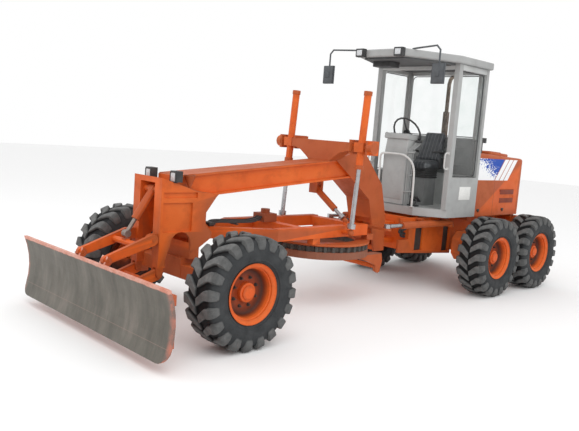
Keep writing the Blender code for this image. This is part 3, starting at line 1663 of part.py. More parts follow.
def engine_block():
    body = block(
        (ahead(engine_rear), -engine_half_width, engine_low), (
            ahead(engine_front), engine_half_width, engine_high,
        ),
    )
    for cross_x in rear_cross_x[-1:]:
        foot = block(
            (
                ahead(cross_x) - cross_plate / 2, -engine_half_width + bury, frame_low_rear + 3 * cross_plate + seat_gap,
            ),
            (ahead(cross_x) + cross_plate / 2, engine_half_width - bury, engine_low + overrun * 3),
        )
        cut(body, block(
            (ahead(cross_x) - 2 * cross_plate, -engine_half_width - overrun, engine_low - overrun),
            (ahead(cross_x) + 2 * cross_plate, engine_half_width + overrun, engine_low + overrun * 2.5),
        ))
        fuse(body, foot)
    node("engine_block", body, "dark_metal")


def hood_top_at(distance):
    share = (distance - hood_front) / (hood_rear - hood_front)
    return hood_high_front + share * (hood_high_rear - hood_high_front)


def engine_hood():
    rounded_low = hood_low - 2 * hood_corner
    outline = [
        (hood_front, rounded_low), (hood_front, hood_high_front), (hood_rear, hood_high_rear), (hood_rear, rounded_low),
    ]
    hood = side_plate(place(outline), -hood_half_width, hood_half_width)
    bevelled(hood, hood_corner, 2)
    inside = side_plate(
        place([
            (hood_front - hood_wall, rounded_low - overrun),
            (hood_front - hood_wall, hood_high_front - hood_wall),
            (hood_rear + hood_wall, hood_high_rear - hood_wall),
            (hood_rear + hood_wall, rounded_low - overrun),
        ]),
        -hood_half_width + hood_wall, hood_half_width - hood_wall,
    )
    below = block(
        (ahead(hood_rear - overrun), -hood_half_width - overrun, rounded_low - overrun),
        (ahead(hood_front + overrun), hood_half_width + overrun, hood_low),
    )
    cut(hood, inside, below)
    lid = side_plate(
        place([
            (hood_lid_front, hood_top_at(hood_lid_front) - bury),
            (hood_lid_front - hood_lid_height, hood_top_at(hood_lid_front) + hood_lid_height),
            (hood_lid_rear + hood_lid_height, hood_top_at(hood_lid_rear) + hood_lid_height),
            (hood_lid_rear, hood_top_at(hood_lid_rear) - bury),
        ]),
        -hood_lid_half, hood_lid_half,
    )
    fuse(hood, lid)
    for front, rear in louvre_x:
        for middle in louvre_z:
            for sign in (1.0, -1.0):
                faces = sorted((sign * (hood_half_width - louvre_depth), sign * (hood_half_width + overrun)))
                cut(hood, block(
                    (ahead(rear), faces[0], middle - louvre_height / 2),
                    (ahead(front), faces[1], middle + louvre_height / 2),
                ))
    node("engine_hood", hood, "orange_paint")


def exhaust_pipe():
    x = ahead(exhaust_x)
    base = hood_top_at(hood_lid_front) + hood_lid_height + seat_gap
    sleeve = rod((x, exhaust_y, base), (x, exhaust_y, exhaust_sleeve_high), exhaust_sleeve_radius)
    tip_x, tip_z = exhaust_tip
    pipe = tube(
        [
            (x, exhaust_y, exhaust_sleeve_high - overrun), (x, exhaust_y, exhaust_bend_z),
            (x + (ahead(tip_x) - x) * 0.12, exhaust_y, exhaust_bend_z + (tip_z - exhaust_bend_z) * 0.45),
            (x + (ahead(tip_x) - x) * 0.42, exhaust_y, exhaust_bend_z + (tip_z - exhaust_bend_z) * 0.8),
            (ahead(tip_x), exhaust_y, tip_z),
        ],
        exhaust_radius, 3,
    )
    fuse(sleeve, pipe)
    node("exhaust_pipe", sleeve, "rusty_pipe")


def air_cleaner():
    x = ahead(cleaner_x)
    base = hood_top_at(cleaner_x + cleaner_stem_radius) + seat_gap
    body = rod(
        (x, cleaner_y + cleaner_radius, base), (x, cleaner_y + cleaner_radius, base + cleaner_height), cleaner_stem_radius,
    )
    cap = rod(
        (x, cleaner_y + cleaner_radius, base + cleaner_height - bury),
        (x, cleaner_y + cleaner_radius, base + cleaner_height + cleaner_cap_height), cleaner_cap_radius,
    )
    fuse(body, cap)
    node("air_cleaner", body, "black_plastic")


# Cab

def floor_outline(inset=0.0):
    return [
        (ahead(cab_front_x - inset), -(cab_front_half - inset)), (
            ahead(cab_front_x - inset), cab_front_half - inset,
        ),
        (ahead(cab_door_x), cab_half_width - inset), (ahead(cab_rear_x + inset), cab_half_width - inset),
        (ahead(cab_rear_x + inset), -(cab_half_width - inset)), (
            ahead(cab_door_x), -(cab_half_width - inset),
        ),
    ]


def cab_base():
    floor_low = cab_floor_z - cab_floor_thickness
    base = floor_plate(floor_outline()[::-1], floor_low - cab_skirt, cab_floor_z)
    cut(base, floor_plate(floor_outline(cab_wall)[::-1], floor_low - cab_skirt - overrun, floor_low))
    panels = []
    for sign in (1.0, -1.0):
        faces = sorted((sign * (cab_half_width - cab_wall), sign * cab_half_width))
        panels.append(block(
            (ahead(cab_rear_x), faces[0], cab_floor_z - bury), (
                ahead(cab_door_x) - pillar_depth / 2, faces[1], cab_sill_z,
            ),
        ))
    panels.append(block(
        (ahead(cab_rear_x), -cab_half_width + cab_wall / 2, cab_floor_z - bury),
        (ahead(cab_rear_x) + cab_wall, cab_half_width - cab_wall / 2, cab_rear_sill_z),
    ))
    fuse(base, *panels)
    for foot_x in (cab_door_x, cab_rear_x + 2 * rear_pillar_depth):
        for sign in (1.0, -1.0):
            fuse(base, block(
                (
                    ahead(foot_x) - mount_foot_half, sign * frame_y - mount_foot_half - frame_plate / 2, frame_high + seat_gap,
                ),
                (
                    ahead(foot_x) + mount_foot_half, sign * frame_y + mount_foot_half - frame_plate / 2, floor_low + bury,
                ),
            ))
    node("cab_base", base, "grey_paint")


def pillar(x, depth, sign, low):
    outer = sign * cab_half_width
    inner = sign * (cab_half_width - pillar_width)
    faces = sorted((outer, inner))
    return block((ahead(x) - depth / 2, faces[0], low), (ahead(x) + depth / 2, faces[1], roof_low - seat_gap))


roof_low = cab_roof_z - roof_thickness


def cab_frame():
    door_low = cab_floor_z + seat_gap
    frame = pillar(cab_door_x, pillar_depth, 1.0, door_low)
    pieces = [pillar(cab_door_x, pillar_depth, -1.0, door_low)]
    for sign in (1.0, -1.0):
        pieces.append(
            pillar(cab_rear_x + rear_pillar_depth / 2, rear_pillar_depth, sign, cab_sill_z + seat_gap)
        )
        faces = sorted((sign * (cab_half_width - pillar_width + bury), sign * (cab_half_width - bury)))
        pieces.append(block(
            (ahead(cab_rear_x) + bury, faces[0], roof_low - header_height), (
                ahead(cab_door_x), faces[1], roof_low - bury,
            ),
        ))
    pieces.append(block(
        (ahead(cab_rear_x) + bury, -cab_half_width + bury, roof_low - header_height + bury),
        (ahead(cab_rear_x) + rear_pillar_depth - bury, cab_half_width - bury, roof_low - 2 * bury),
    ))
    pieces.append(block(
        (
            ahead(cab_door_x) - pillar_depth / 2 + bury, -cab_half_width + bury, roof_low - header_height + bury,
        ),
        (ahead(cab_door_x) + pillar_depth / 2 - bury, cab_half_width - bury, roof_low - 2 * bury),
    ))
    fuse(frame, *pieces)
    clear = block(
        (ahead(cab_rear_x) - overrun, -cab_half_width + cab_wall / 4, cab_floor_z),
        (ahead(cab_rear_x) + cab_wall + seat_gap, cab_half_width - cab_wall / 4, cab_rear_sill_z + seat_gap),
    )
    cut(frame, clear)
    for sign in (1.0, -1.0):
        faces = sorted((sign * (cab_half_width - cab_wall - seat_gap), sign * (cab_half_width + overrun)))
        cut(frame, block(
            (ahead(cab_rear_x) - overrun, faces[0], cab_floor_z - overrun),
            (ahead(cab_door_x) - pillar_depth / 2 + seat_gap, faces[1], cab_sill_z + seat_gap),
        ))
    node("cab_frame", frame, "grey_paint")


def cab_roof():
    outline = [
        (ahead(roof_front_x), -roof_front_half), (ahead(roof_front_x), roof_front_half),
        (ahead(roof_door_x), roof_half_width), (ahead(roof_rear_x), roof_half_width),
        (ahead(roof_rear_x), -roof_half_width), (ahead(roof_door_x), -roof_half_width),
    ]
    roof = floor_plate(outline[::-1], roof_low, cab_roof_z)
    bevelled(roof, roof_bevel, 2)
    node("cab_roof", roof, "grey_paint")


def side_window(side, sign):
    rear = ahead(cab_rear_x) + rear_pillar_depth + seat_gap
    front = ahead(cab_door_x) - pillar_depth / 2 - seat_gap
    low = cab_sill_z + seat_gap
    high = roof_low - header_height - seat_gap
    middle = sign * (cab_half_width - pillar_width / 2)
    pane = block((rear, middle - glass_thickness / 2, low), (front, middle + glass_thickness / 2, high))
    node(f"side_window_{side}", pane, "clear_glass")


def rear_window():
    half = cab_half_width - pillar_width - seat_gap
    x = ahead(cab_rear_x) + rear_pillar_depth / 4
    pane = block(
        (x - glass_thickness / 2, -half, cab_rear_sill_z + seat_gap),
        (x + glass_thickness / 2, half, roof_low - header_height + bury - seat_gap),
    )
    node("rear_window", pane, "clear_glass")


def control_console():
    low = cab_floor_z + seat_gap
    outline = [
        (console_front_x, low), (console_front_x, console_knee_z), (
            console_front_x - cab_wall, console_top_z,
        ),
        (console_top_rear_x, console_top_z - cab_wall), (console_rear_x, console_knee_z - 2 * cab_wall),
        (console_rear_x, low),
    ]
    console = side_plate(place(outline), console_y - console_half_width, console_y + console_half_width)
    bevelled(console, wheel_rim_tube, 1)
    for index in range(lever_count):
        y = lever_y - lever_pitch * index
        lever = rod(
            (ahead(console_rear_x) + cab_wall, y, console_knee_z - 3 * cab_wall),
            (ahead(lever_x), y, lever_top_z), lever_radius, 8,
        )
        fuse(console, lever)
    node("control_console", console, "grey_paint")


def steering_wheel():
    centre = Vector((ahead(wheel_centre[0]), console_y, wheel_centre[1]))
    tilt = math.radians(wheel_tilt_deg)
    axis = Vector((-math.sin(tilt), 0.0, math.cos(tilt)))
    work = bmesh.new()
    bmesh.ops.create_cone(
        work, cap_ends=True, segments=12, radius1=wheel_column_radius * 1.6, radius2=wheel_column_radius * 1.3,
        depth=wheel_rim_tube * 3,
    )
    hub = from_bmesh("hub", work)
    rim_profile = []
    for step in range(6):
        angle = 2 * math.pi * step / 5
        rim_profile.append((
            wheel_rim_radius + wheel_rim_tube * math.cos(angle), -wheel_rim_tube * math.sin(angle)))
    rim = turned(rim_profile, 18, (0.0, 0.0, 0.0), (0.0, 0.0, 1.0))
    spokes = []
    for index in range(3):
        angle = 2 * math.pi * index / 3 + math.pi / 2
        spokes.append(rod(
            (0.0, 0.0, 0.0), (wheel_rim_radius * math.cos(angle), wheel_rim_radius * math.sin(angle), 0.0),
            wheel_rim_tube * 0.7, 6,
        ))
    fuse(hub, rim, *spokes)
    turn = axis.to_track_quat("Z", "Y").to_matrix().to_4x4()
    hub.data.transform(Matrix.Translation(centre) @ turn)
    column = rod(
        centre, centre - axis * (centre.z - console_top_z + cab_wall) / math.cos(tilt), wheel_column_radius * 0.6, 12,
    )
    cut(column, side_plate(
        place([
            (console_front_x, cab_floor_z), (console_front_x - cab_wall, console_top_z + 2 * seat_gap),
            (console_top_rear_x, console_top_z - cab_wall + 2 * seat_gap), (
                console_top_rear_x - cab_wall, cab_floor_z,
            ),
        ]),
        console_y - console_half_width, console_y + console_half_width,
    ))
    fuse(hub, column)
    node("steering_wheel", hub, "black_plastic", centre)


def seat():
    base_low = cab_floor_z + seat_gap
    base_high = seat_high - seat_thickness - seat_gap
    pedestal = block(
        (ahead(seat_rear_x + seat_base_inset), -seat_base_half, base_low),
        (ahead(seat_front_x - seat_base_inset), seat_base_half, base_high),
    )
    node("seat_base", pedestal, "black_plastic")
    outline = [
        (seat_front_x, seat_high - seat_thickness), (seat_front_x, seat_high), (seat_rear_x, seat_high),
        (seat_rear_x - seat_back_lean, seat_back_high),
        (seat_rear_x - seat_back_lean - seat_back_thickness, seat_back_high),
        (seat_rear_x - seat_back_thickness, seat_high - seat_thickness),
    ]
    cushion = side_plate(place(outline), -seat_half_width, seat_half_width)
    bevelled(cushion, seat_round, 2)
    node("seat", cushion, "seat_vinyl")


def mirror(side, sign):
    y = sign * mirror_y
    glass_body = block(
        (ahead(mirror_x) - mirror_thickness / 2, y - mirror_half_width, mirror_z - mirror_half_height),
        (ahead(mirror_x) + mirror_thickness / 2, y + mirror_half_width, mirror_z + mirror_half_height),
    )
    root = (ahead(mirror_arm_root_x), sign * mirror_arm_root_y, cab_roof_z + seat_gap + mirror_arm_radius)
    route = [
        (root[0] - 2 * overrun, root[1] - sign * 4 * overrun, root[2]),
        root,
        (ahead(mirror_x), y - sign * mirror_half_width * 0.6, root[2]),
        (ahead(mirror_x), y, root[2] - mirror_half_width * 0.6),
        (ahead(mirror_x), y, mirror_z),
    ]
    arm = tube(route, mirror_arm_radius, 2)
    fuse(arm, glass_body)
    node(f"mirror_{side}", arm, "mirror_housing")


def work_lamp(side, sign):
    y = sign * work_lamp_y
    x = ahead(roof_front_x) + seat_gap
    middle = cab_roof_z - roof_thickness / 2
    body = block(
        (x, y - lamp_half_width, middle - lamp_half_height), (
            x + lamp_depth, y + lamp_half_width, middle + lamp_half_height,
        ),
    )
    node(f"work_lamp_{side}", body, "lamp_body")


clear_scene()
grader = make_collection("motor_grader")
bench = make_collection("cutters")
finishes = {name: make_material(name, values) for name, values in finish_table.items()}

wheel_set()
front_axle()
both_sides(knuckle)
tie_rod()
main_frame()
both_sides(headlamp)
saddle()
both_sides(lift_cylinder)
drawbar()
circle()
circle_drive()
shift_cylinder()
dozer_blade()
dozer_linkage()
rear_frame()
rear_axle()
both_sides(articulation_cylinder)
engine_block()
engine_hood()
exhaust_pipe()
air_cleaner()
cab_base()
cab_frame()
cab_roof()
both_sides(side_window)
rear_window()
control_console()
steering_wheel()
seat()
both_sides(mirror)
both_sides(work_lamp)
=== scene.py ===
import json
import math
import bmesh
import bpy
from mathutils import Matrix, Vector


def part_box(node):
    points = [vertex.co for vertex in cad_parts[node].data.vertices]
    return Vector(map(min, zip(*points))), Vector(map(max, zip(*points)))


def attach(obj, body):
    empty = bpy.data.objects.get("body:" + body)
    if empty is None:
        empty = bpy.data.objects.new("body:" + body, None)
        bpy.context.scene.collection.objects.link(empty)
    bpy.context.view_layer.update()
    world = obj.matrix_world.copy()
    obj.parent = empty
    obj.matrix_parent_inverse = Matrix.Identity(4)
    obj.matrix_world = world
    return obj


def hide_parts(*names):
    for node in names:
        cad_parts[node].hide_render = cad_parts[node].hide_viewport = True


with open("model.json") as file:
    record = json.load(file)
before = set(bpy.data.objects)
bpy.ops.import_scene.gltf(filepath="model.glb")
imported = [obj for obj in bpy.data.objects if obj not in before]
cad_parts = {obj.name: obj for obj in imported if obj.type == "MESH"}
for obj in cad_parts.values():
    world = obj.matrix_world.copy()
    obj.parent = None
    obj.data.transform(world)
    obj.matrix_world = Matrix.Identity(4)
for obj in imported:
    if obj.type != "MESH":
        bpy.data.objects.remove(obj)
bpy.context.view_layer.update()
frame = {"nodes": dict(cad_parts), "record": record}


nodes = frame["nodes"]
print("frame loaded:", len(nodes), "nodes")

# Lengths along the machine are given from the front axle, so this is added to each
frontAxleX = sum((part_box("rim_front_left")[i].x for i in (0, 1))) / 2

# Camera: the photograph's viewing angle
camera = {
    "spot": (frontAxleX + 4.085, 5.756, 2.048),
    "yaw": 225.416,
    "pitch": -6.899,
    "roll": 4.397,
    "lens": 41.93,
    "sensor": 36.0,
    "reach": 100.0,
}


def aimCamera(settings):
    data = bpy.data.cameras.new("graderCamera")
    data.lens = settings["lens"]
    data.sensor_width = settings["sensor"]
    data.clip_end = settings["reach"]
    item = bpy.data.objects.new("graderCamera", data)
    bpy.context.scene.collection.objects.link(item)
    yaw = math.radians(settings["yaw"])
    pitch = math.radians(settings["pitch"])
    ahead = Vector((math.cos(pitch) * math.cos(yaw), math.cos(pitch) * math.sin(yaw), math.sin(pitch)))
    level = ahead.to_track_quat("-Z", "Y").to_matrix().to_4x4()
    lean = Matrix.Rotation(math.radians(settings["roll"]), 4, "Z")
    item.matrix_world = Matrix.Translation(settings["spot"]) @ level @ lean
    bpy.context.scene.camera = item


aimCamera(camera)
print("camera aimed")


# Small helpers for node materials

class Finish:
    # One procedural material, with its coordinates in metres on the piece itself
    def __init__(self, name):
        self.material = bpy.data.materials.new(name)
        self.material.use_nodes = True
        self.tree = self.material.node_tree
        self.shader = self.tree.nodes["Principled BSDF"]
        self.coords = self.tree.nodes.new("ShaderNodeTexCoord").outputs["Object"]

    def add(self, kind, **settings):
        item = self.tree.nodes.new(kind)
        for key, value in settings.items():
            setattr(item, key, value)
        return item

    def join(self, source, target):
        self.tree.links.new(source, target)

    def feed(self, source, socket):
        # A socket takes a plain number, a colour, or the output of another node
        if isinstance(source, (int, float)):
            socket.default_value = source
        elif isinstance(source, tuple):
            socket.default_value = (*source, 1.0)
        else:
            self.join(source, socket)

    def give(self, name, source):
        self.feed(source, self.shader.inputs[name])

    def stretched(self, scale):
        mapping = self.add("ShaderNodeMapping")
        mapping.inputs["Scale"].default_value = scale
        self.join(self.coords, mapping.inputs["Vector"])
        return mapping.outputs["Vector"]

    def noise(self, scale, detail=3.0, rough=0.5, stretch=None):
        item = self.add("ShaderNodeTexNoise")
        item.inputs["Scale"].default_value = scale
        item.inputs["Detail"].default_value = detail
        item.inputs["Roughness"].default_value = rough
        self.join(self.stretched(stretch) if stretch else self.coords, item.inputs["Vector"])
        return item.outputs["Fac"]

    def cells(self, scale, stretch=None):
        item = self.add("ShaderNodeTexVoronoi")
        item.inputs["Scale"].default_value = scale
        self.join(self.stretched(stretch) if stretch else self.coords, item.inputs["Vector"])
        return item.outputs["Distance"]

    def ramp(self, source, stops):
        item = self.add("ShaderNodeValToRGB")
        elements = item.color_ramp.elements
        while len(elements) < len(stops):
            elements.new(0.5)
        for element, (place, colour) in zip(elements, stops):
            element.position = place
            element.color = (*colour, 1.0) if isinstance(colour, tuple) else (colour, colour, colour, 1.0)
        self.join(source, item.inputs["Fac"])
        return item.outputs["Color"]

    def patches(self, noise, stops):
        return self.ramp(self.noise(*noise), stops)

    def fade(self, source, ends, low=0.0, high=1.0):
        # From the low value to the high one between two levels of the source
        return self.ramp(source, [(ends[0], low), (ends[1], high)])

    def mix(self, factor, first, second):
        # The node keeps its colour sockets after those for numbers and vectors
        item = self.add("ShaderNodeMix", data_type="RGBA")
        for source, slot in ((factor, 0), (first, 6), (second, 7)):
            self.feed(source, item.inputs[slot])
        return item.outputs[2]

    def calc(self, kind, first, second=0.0):
        item = self.add("ShaderNodeMath", operation=kind)
        self.feed(first, item.inputs[0])
        self.feed(second, item.inputs[1])
        return item.outputs[0]

    def times(self, first, second):
        return self.calc("MULTIPLY", first, second)

    def plus(self, first, second):
        return self.calc("ADD", first, second)

    def minus(self, first, second):
        return self.calc("SUBTRACT", first, second)

    def most(self, first, second):
        return self.calc("MAXIMUM", first, second)

    def absolute(self, source):
        return self.calc("ABSOLUTE", source)

    def fromAxle(self):
        # Distance from a wheel's axle
        item = self.add("ShaderNodeVectorMath", operation="LENGTH")
        self.join(self.stretched((1.0, 0.0, 1.0)), item.inputs[0])
        return item.outputs["Value"]

    def axis(self, letter, coords=None):
        item = self.add("ShaderNodeSeparateXYZ")
        self.join(coords or self.coords, item.inputs[0])
        return item.outputs[letter]

    def rise(self, source, start, end):
        # 0 before the start and 1 after the end
        item = self.add("ShaderNodeMapRange")
        self.feed(source, item.inputs["Value"])
        item.inputs["From Min"].default_value = start
        item.inputs["From Max"].default_value = end
        return item.outputs["Result"]

    def between(self, source, low, high, soft):
        # 1 from low to high and 0 outside, with soft ends
        above = self.rise(source, low - soft, low + soft)
        return self.times(above, self.rise(source, high + soft, high - soft))

    def bump(self, source, strength, distance):
        item = self.add("ShaderNodeBump")
        item.inputs["Strength"].default_value = strength
        item.inputs["Distance"].default_value = distance
        self.join(source, item.inputs["Height"])
        self.join(item.outputs["Normal"], self.shader.inputs["Normal"])


def agedColour(finish, look):
    # Faded machine paint: blotches, grime, and bare chips on the edges
    blotch = finish.fade(finish.noise(*look["blotch"]), look["blotchEnds"])
    colour = finish.mix(blotch, look["fresh"], look["faded"])
    grime = finish.noise(*look["grime"])
    cover = finish.fade(grime, look["grimeEnds"], high=look["grimeMost"])
    colour = finish.mix(cover, colour, look["dirt"])
    edge = finish.add("ShaderNodeNewGeometry").outputs["Pointiness"]
    chips = finish.fade(edge, look["chipEnds"], high=look["chips"])
    return finish.mix(chips, colour, look["bare"]), grime


def closePaint(finish, colour, grime, look):
    gloss = look["gloss"]
    finish.give("Base Color", colour)
    finish.give("Roughness", finish.fade(grime, look["glossEnds"], gloss, gloss + look["dulled"]))
    finish.give("Specular IOR Level", look["sheen"])
    finish.bump(finish.noise(*look["peel"]), *look["peelBump"])
    return finish.material


def wornPaint(name, look):
    finish = Finish(name)
    colour, grime = agedColour(finish, look)
    return closePaint(finish, colour, grime, look)


bodyPaint = {
    "fresh": (0.62, 0.092, 0.007), "faded": (0.68, 0.135, 0.02), "dirt": (0.27, 0.055, 0.016),
    "bare": (0.13, 0.055, 0.03), "grimeMost": 0.5, "chips": 0.45, "gloss": 0.42, "dulled": 0.3,
    "sheen": 0.3,
    # Noise: scale, detail and roughness
    "blotch": (1.7, 4.0, 0.6), "grime": (6.0, 6.0, 0.65), "peel": (90.0, 2.0), "peelBump": (0.08, 0.002),
    "blotchEnds": (0.35, 0.7), "grimeEnds": (0.5, 0.8), "chipEnds": (0.515, 0.56), "glossEnds": (0.3, 0.8),
}
orangeBody = wornPaint("fadedOrangePaint", bodyPaint)
cabPaint = dict(
    bodyPaint, fresh=(0.43, 0.44, 0.435), faded=(0.52, 0.53, 0.52), dirt=(0.24, 0.235, 0.22), grimeMost=0.4,
    bare=(0.2, 0.2, 0.2),
)
greyCab = wornPaint("greyCabPaint", cabPaint)
whitePaint = wornPaint("whiteRailPaint", dict(cabPaint, fresh=(0.72, 0.72, 0.7), faded=(0.8, 0.8, 0.78)))
rustyOrange = wornPaint(
    "rustyOrangePaint", dict(bodyPaint, fresh=(0.36, 0.06, 0.012), faded=(0.42, 0.09, 0.025)),
)

rimLook = dict(
    bodyPaint, fresh=(0.64, 0.09, 0.01), dirt=(0.22, 0.05, 0.02), grime=(14.0, 6.0, 0.65),
    # Distance out from the wheel's middle, then radii
    deep=(0.105, 0.045), corner=(0.13, 0.205), disc=(0.09, 0.1),
    # The disc tone is rust with painted shade; the corner tone is painted shade
    discShare=0.75, discRustAndShade=(0.15, 0.024, 0.008), cornerShare=0.85, cornerShade=(0.03, 0.012, 0.008),
)


def dishedRim(look):
    # Painted shade darkens the corner between the disc and the barrel, and rust with painted shade darkens
    # the deep disc
    finish = Finish("rimOrangePaint")
    colour, grime = agedColour(finish, look)
    radius = finish.fromAxle()
    deep = finish.rise(finish.axis("Y"), *look["deep"])
    corner = finish.times(deep, finish.rise(radius, *look["corner"]))
    disc = finish.times(deep, finish.rise(radius, *look["disc"]))
    colour = finish.mix(finish.times(disc, look["discShare"]), colour, look["discRustAndShade"])
    colour = finish.mix(finish.times(corner, look["cornerShare"]), colour, look["cornerShade"])
    return closePaint(finish, colour, grime, look)


rimPaint = dishedRim(rimLook)

plainLook = {
    "blotch": (5.0, 0.6), "blotchEnds": (0.35, 0.7), "glossDetail": 4.0, "glossEnds": (0.3, 0.8),
    "dulled": 0.2, "grainDetail": 3.0, "grainDeep": 0.002,
}


def plainFinish(name, base, other, rough, metal=0.0, scale=8.0, peel=120.0, bump=0.1):
    # Two close colours in blotches, with a fine grain
    look = plainLook
    finish = Finish(name)
    colour = finish.mix(finish.fade(finish.noise(scale, *look["blotch"]), look["blotchEnds"]), base, other)
    finish.give("Base Color", colour)
    dull = min(rough + look["dulled"], 1.0)
    roughness = finish.fade(finish.noise(scale * 2, look["glossDetail"]), look["glossEnds"], rough, dull)
    finish.give("Roughness", roughness)
    finish.give("Metallic", metal)
    finish.bump(finish.noise(peel, look["grainDetail"]), bump, look["grainDeep"])
    return finish.material


chromeRod = plainFinish(
    "chromedRod", (0.46, 0.46, 0.47), (0.36, 0.36, 0.37), 0.2, metal=1.0, scale=14.0, peel=200.0, bump=0.02,
)
blackTrim = plainFinish("blackTrim", (0.02, 0.02, 0.021), (0.05, 0.05, 0.05), 0.5, scale=12.0)
dullRod = plainFinish(
    "dullRod", (0.2, 0.16, 0.14), (0.34, 0.29, 0.26), 0.38, metal=0.7, scale=14.0, peel=200.0, bump=0.05,
)
darkIron = plainFinish("oilyIron", (0.05, 0.045, 0.042), (0.1, 0.085, 0.075), 0.5, metal=0.5, scale=9.0)
hoseRubber = plainFinish(
    "hoseRubber", (0.016, 0.016, 0.018), (0.04, 0.039, 0.037), 0.55, scale=20.0, peel=300.0, bump=0.2,
)
housing = plainFinish("mirrorHousing", (0.045, 0.05, 0.056), (0.08, 0.088, 0.095), 0.42, scale=12.0)
greyLining = plainFinish("greyLining", (0.16, 0.165, 0.165), (0.21, 0.215, 0.21), 0.6, scale=9.0)
# Painted shade: dark lining for the underside of the roof
roofShadeLining = plainFinish("roofShadeLining", (0.085, 0.088, 0.09), (0.13, 0.135, 0.135), 0.75, scale=9.0)
softRubber = plainFinish("gasketRubber", (0.05, 0.052, 0.054), (0.085, 0.088, 0.09), 0.65, scale=16.0)
lampGlass = plainFinish(
    "ribbedLampGlass", (0.55, 0.57, 0.59), (0.68, 0.7, 0.71), 0.15, scale=30.0, peel=90.0, bump=0.5,
)
redLens = plainFinish(
    "redLampLens", (0.35, 0.012, 0.01), (0.45, 0.03, 0.02), 0.2, scale=30.0, peel=110.0, bump=0.5,
)
mirrorSilver = plainFinish(
    "mirrorSilver", (0.82, 0.84, 0.85), (0.76, 0.78, 0.8), 0.05, metal=1.0, scale=6.0, peel=30.0, bump=0.01,
)
plateWhite = plainFinish("blankPlate", (0.74, 0.74, 0.72), (0.66, 0.66, 0.64), 0.5, scale=40.0)

rubberLook = {
    # Radii at which one tone gives way to the next
    "topEnds": (0.524, 0.545), "grooveShadeEnds": (0.5, 0.514), "lugEnds": (0.415, 0.425),
    "wallEnds": (0.4, 0.52),
    "dustNoise": (9.0, 6.0, 0.7), "dust": ((0.3, (0.02, 0.022, 0.024)), (0.75, (0.05, 0.053, 0.055))),
    "topNoise": (14.0, 6.0, 0.7), "tops": ((0.3, (0.075, 0.077, 0.077)), (0.75, (0.17, 0.17, 0.166))),
    # Painted shade colour for the tread floor between the lugs
    "grooveShade": (0.007, 0.007, 0.008),
    # Half width of the bare sidewall: what stands out from it is the end of a lug
    "wall": ((0.1, 0.197), (0.33, 0.1915), (0.57, 0.184), (0.73, 0.175), (0.86, 0.162), (0.95, 0.14)),
    "standEnds": (0.002, 0.01), "endShare": 0.7,
    "rough": 0.74, "sheen": 0.3, "grain": (120.0, 4.0, 0.6), "grainBump": (0.25, 0.003),
}


def dustyRubber(look):
    # Lug tops and sidewalls carry grey dust; the grooves get painted shade, near black
    finish = Finish("dustyTyreRubber")
    radius = finish.fromAxle()
    worn = finish.rise(radius, *look["topEnds"])
    dust = finish.patches(look["dustNoise"], look["dust"])
    tops = finish.patches(look["topNoise"], look["tops"])
    # Painted shade: the tread floor between the lugs goes near black
    grooveShade = finish.mix(finish.rise(radius, *look["grooveShadeEnds"]), dust, look["grooveShade"])
    wall = finish.ramp(finish.rise(radius, *look["wallEnds"]), look["wall"])
    stand = finish.minus(finish.absolute(finish.axis("Y")), wall)
    ends = finish.times(finish.rise(stand, *look["standEnds"]), finish.rise(radius, *look["lugEnds"]))
    worn = finish.most(worn, finish.times(ends, look["endShare"]))
    finish.give("Base Color", finish.mix(worn, grooveShade, tops))
    finish.give("Roughness", look["rough"])
    finish.give("Specular IOR Level", look["sheen"])
    finish.bump(finish.noise(*look["grain"]), *look["grainBump"])
    return finish.material


tyreRubber = dustyRubber(rubberLook)

bladeLook = {
    # Noise: scale, detail, roughness, stretch
    "scrapes": (2.2, 8.0, 0.62, (1.0, 2.4, 0.8)), "fine": (9.0, 6.0, 0.8, (1.0, 5.0, 0.5)),
    "steel": ((0.3, (0.085, 0.079, 0.066)), (0.55, (0.125, 0.115, 0.095)), (0.75, (0.2, 0.165, 0.14))),
    "fineEnds": (0.5, 0.8), "fineMost": 0.4, "rubbed": (0.23, 0.165, 0.135), "fineBump": (0.25, 0.003),
    # Height of the joint with the cutting edge
    "joint": (0.233, 0.237, 0.0015), "jointShare": 0.6, "jointColour": (0.3, 0.2, 0.16),
    "chalkNoise": (7.0, 6.0, 0.7), "chalk": ((0.35, (0.56, 0.2, 0.13)), (0.65, (0.66, 0.36, 0.29))),
    "rustNoise": (9.0, 6.0, 0.7), "rust": ((0.4, (0.17, 0.11, 0.09)), (0.6, (0.42, 0.15, 0.1))),
    "ragged": (16.0, 6.0, 0.7), "raggedDeep": 0.03,
    # Height of the painted top band, and distances from the middle
    "topBand": (0.716, 0.724), "endWear": (1.345, 1.375), "endShare": 0.8, "inboard": (1.3, 1.2),
    "rusty": (1.32, 1.34),
    # Which way the surface faces
    "front": (0.35, 0.15), "behind": (0.0, -0.3), "sideways": (0.4, 0.6),
    "metal": 0.2, "gloss": ((0.3, 0.62), (0.75, 0.42)),
}


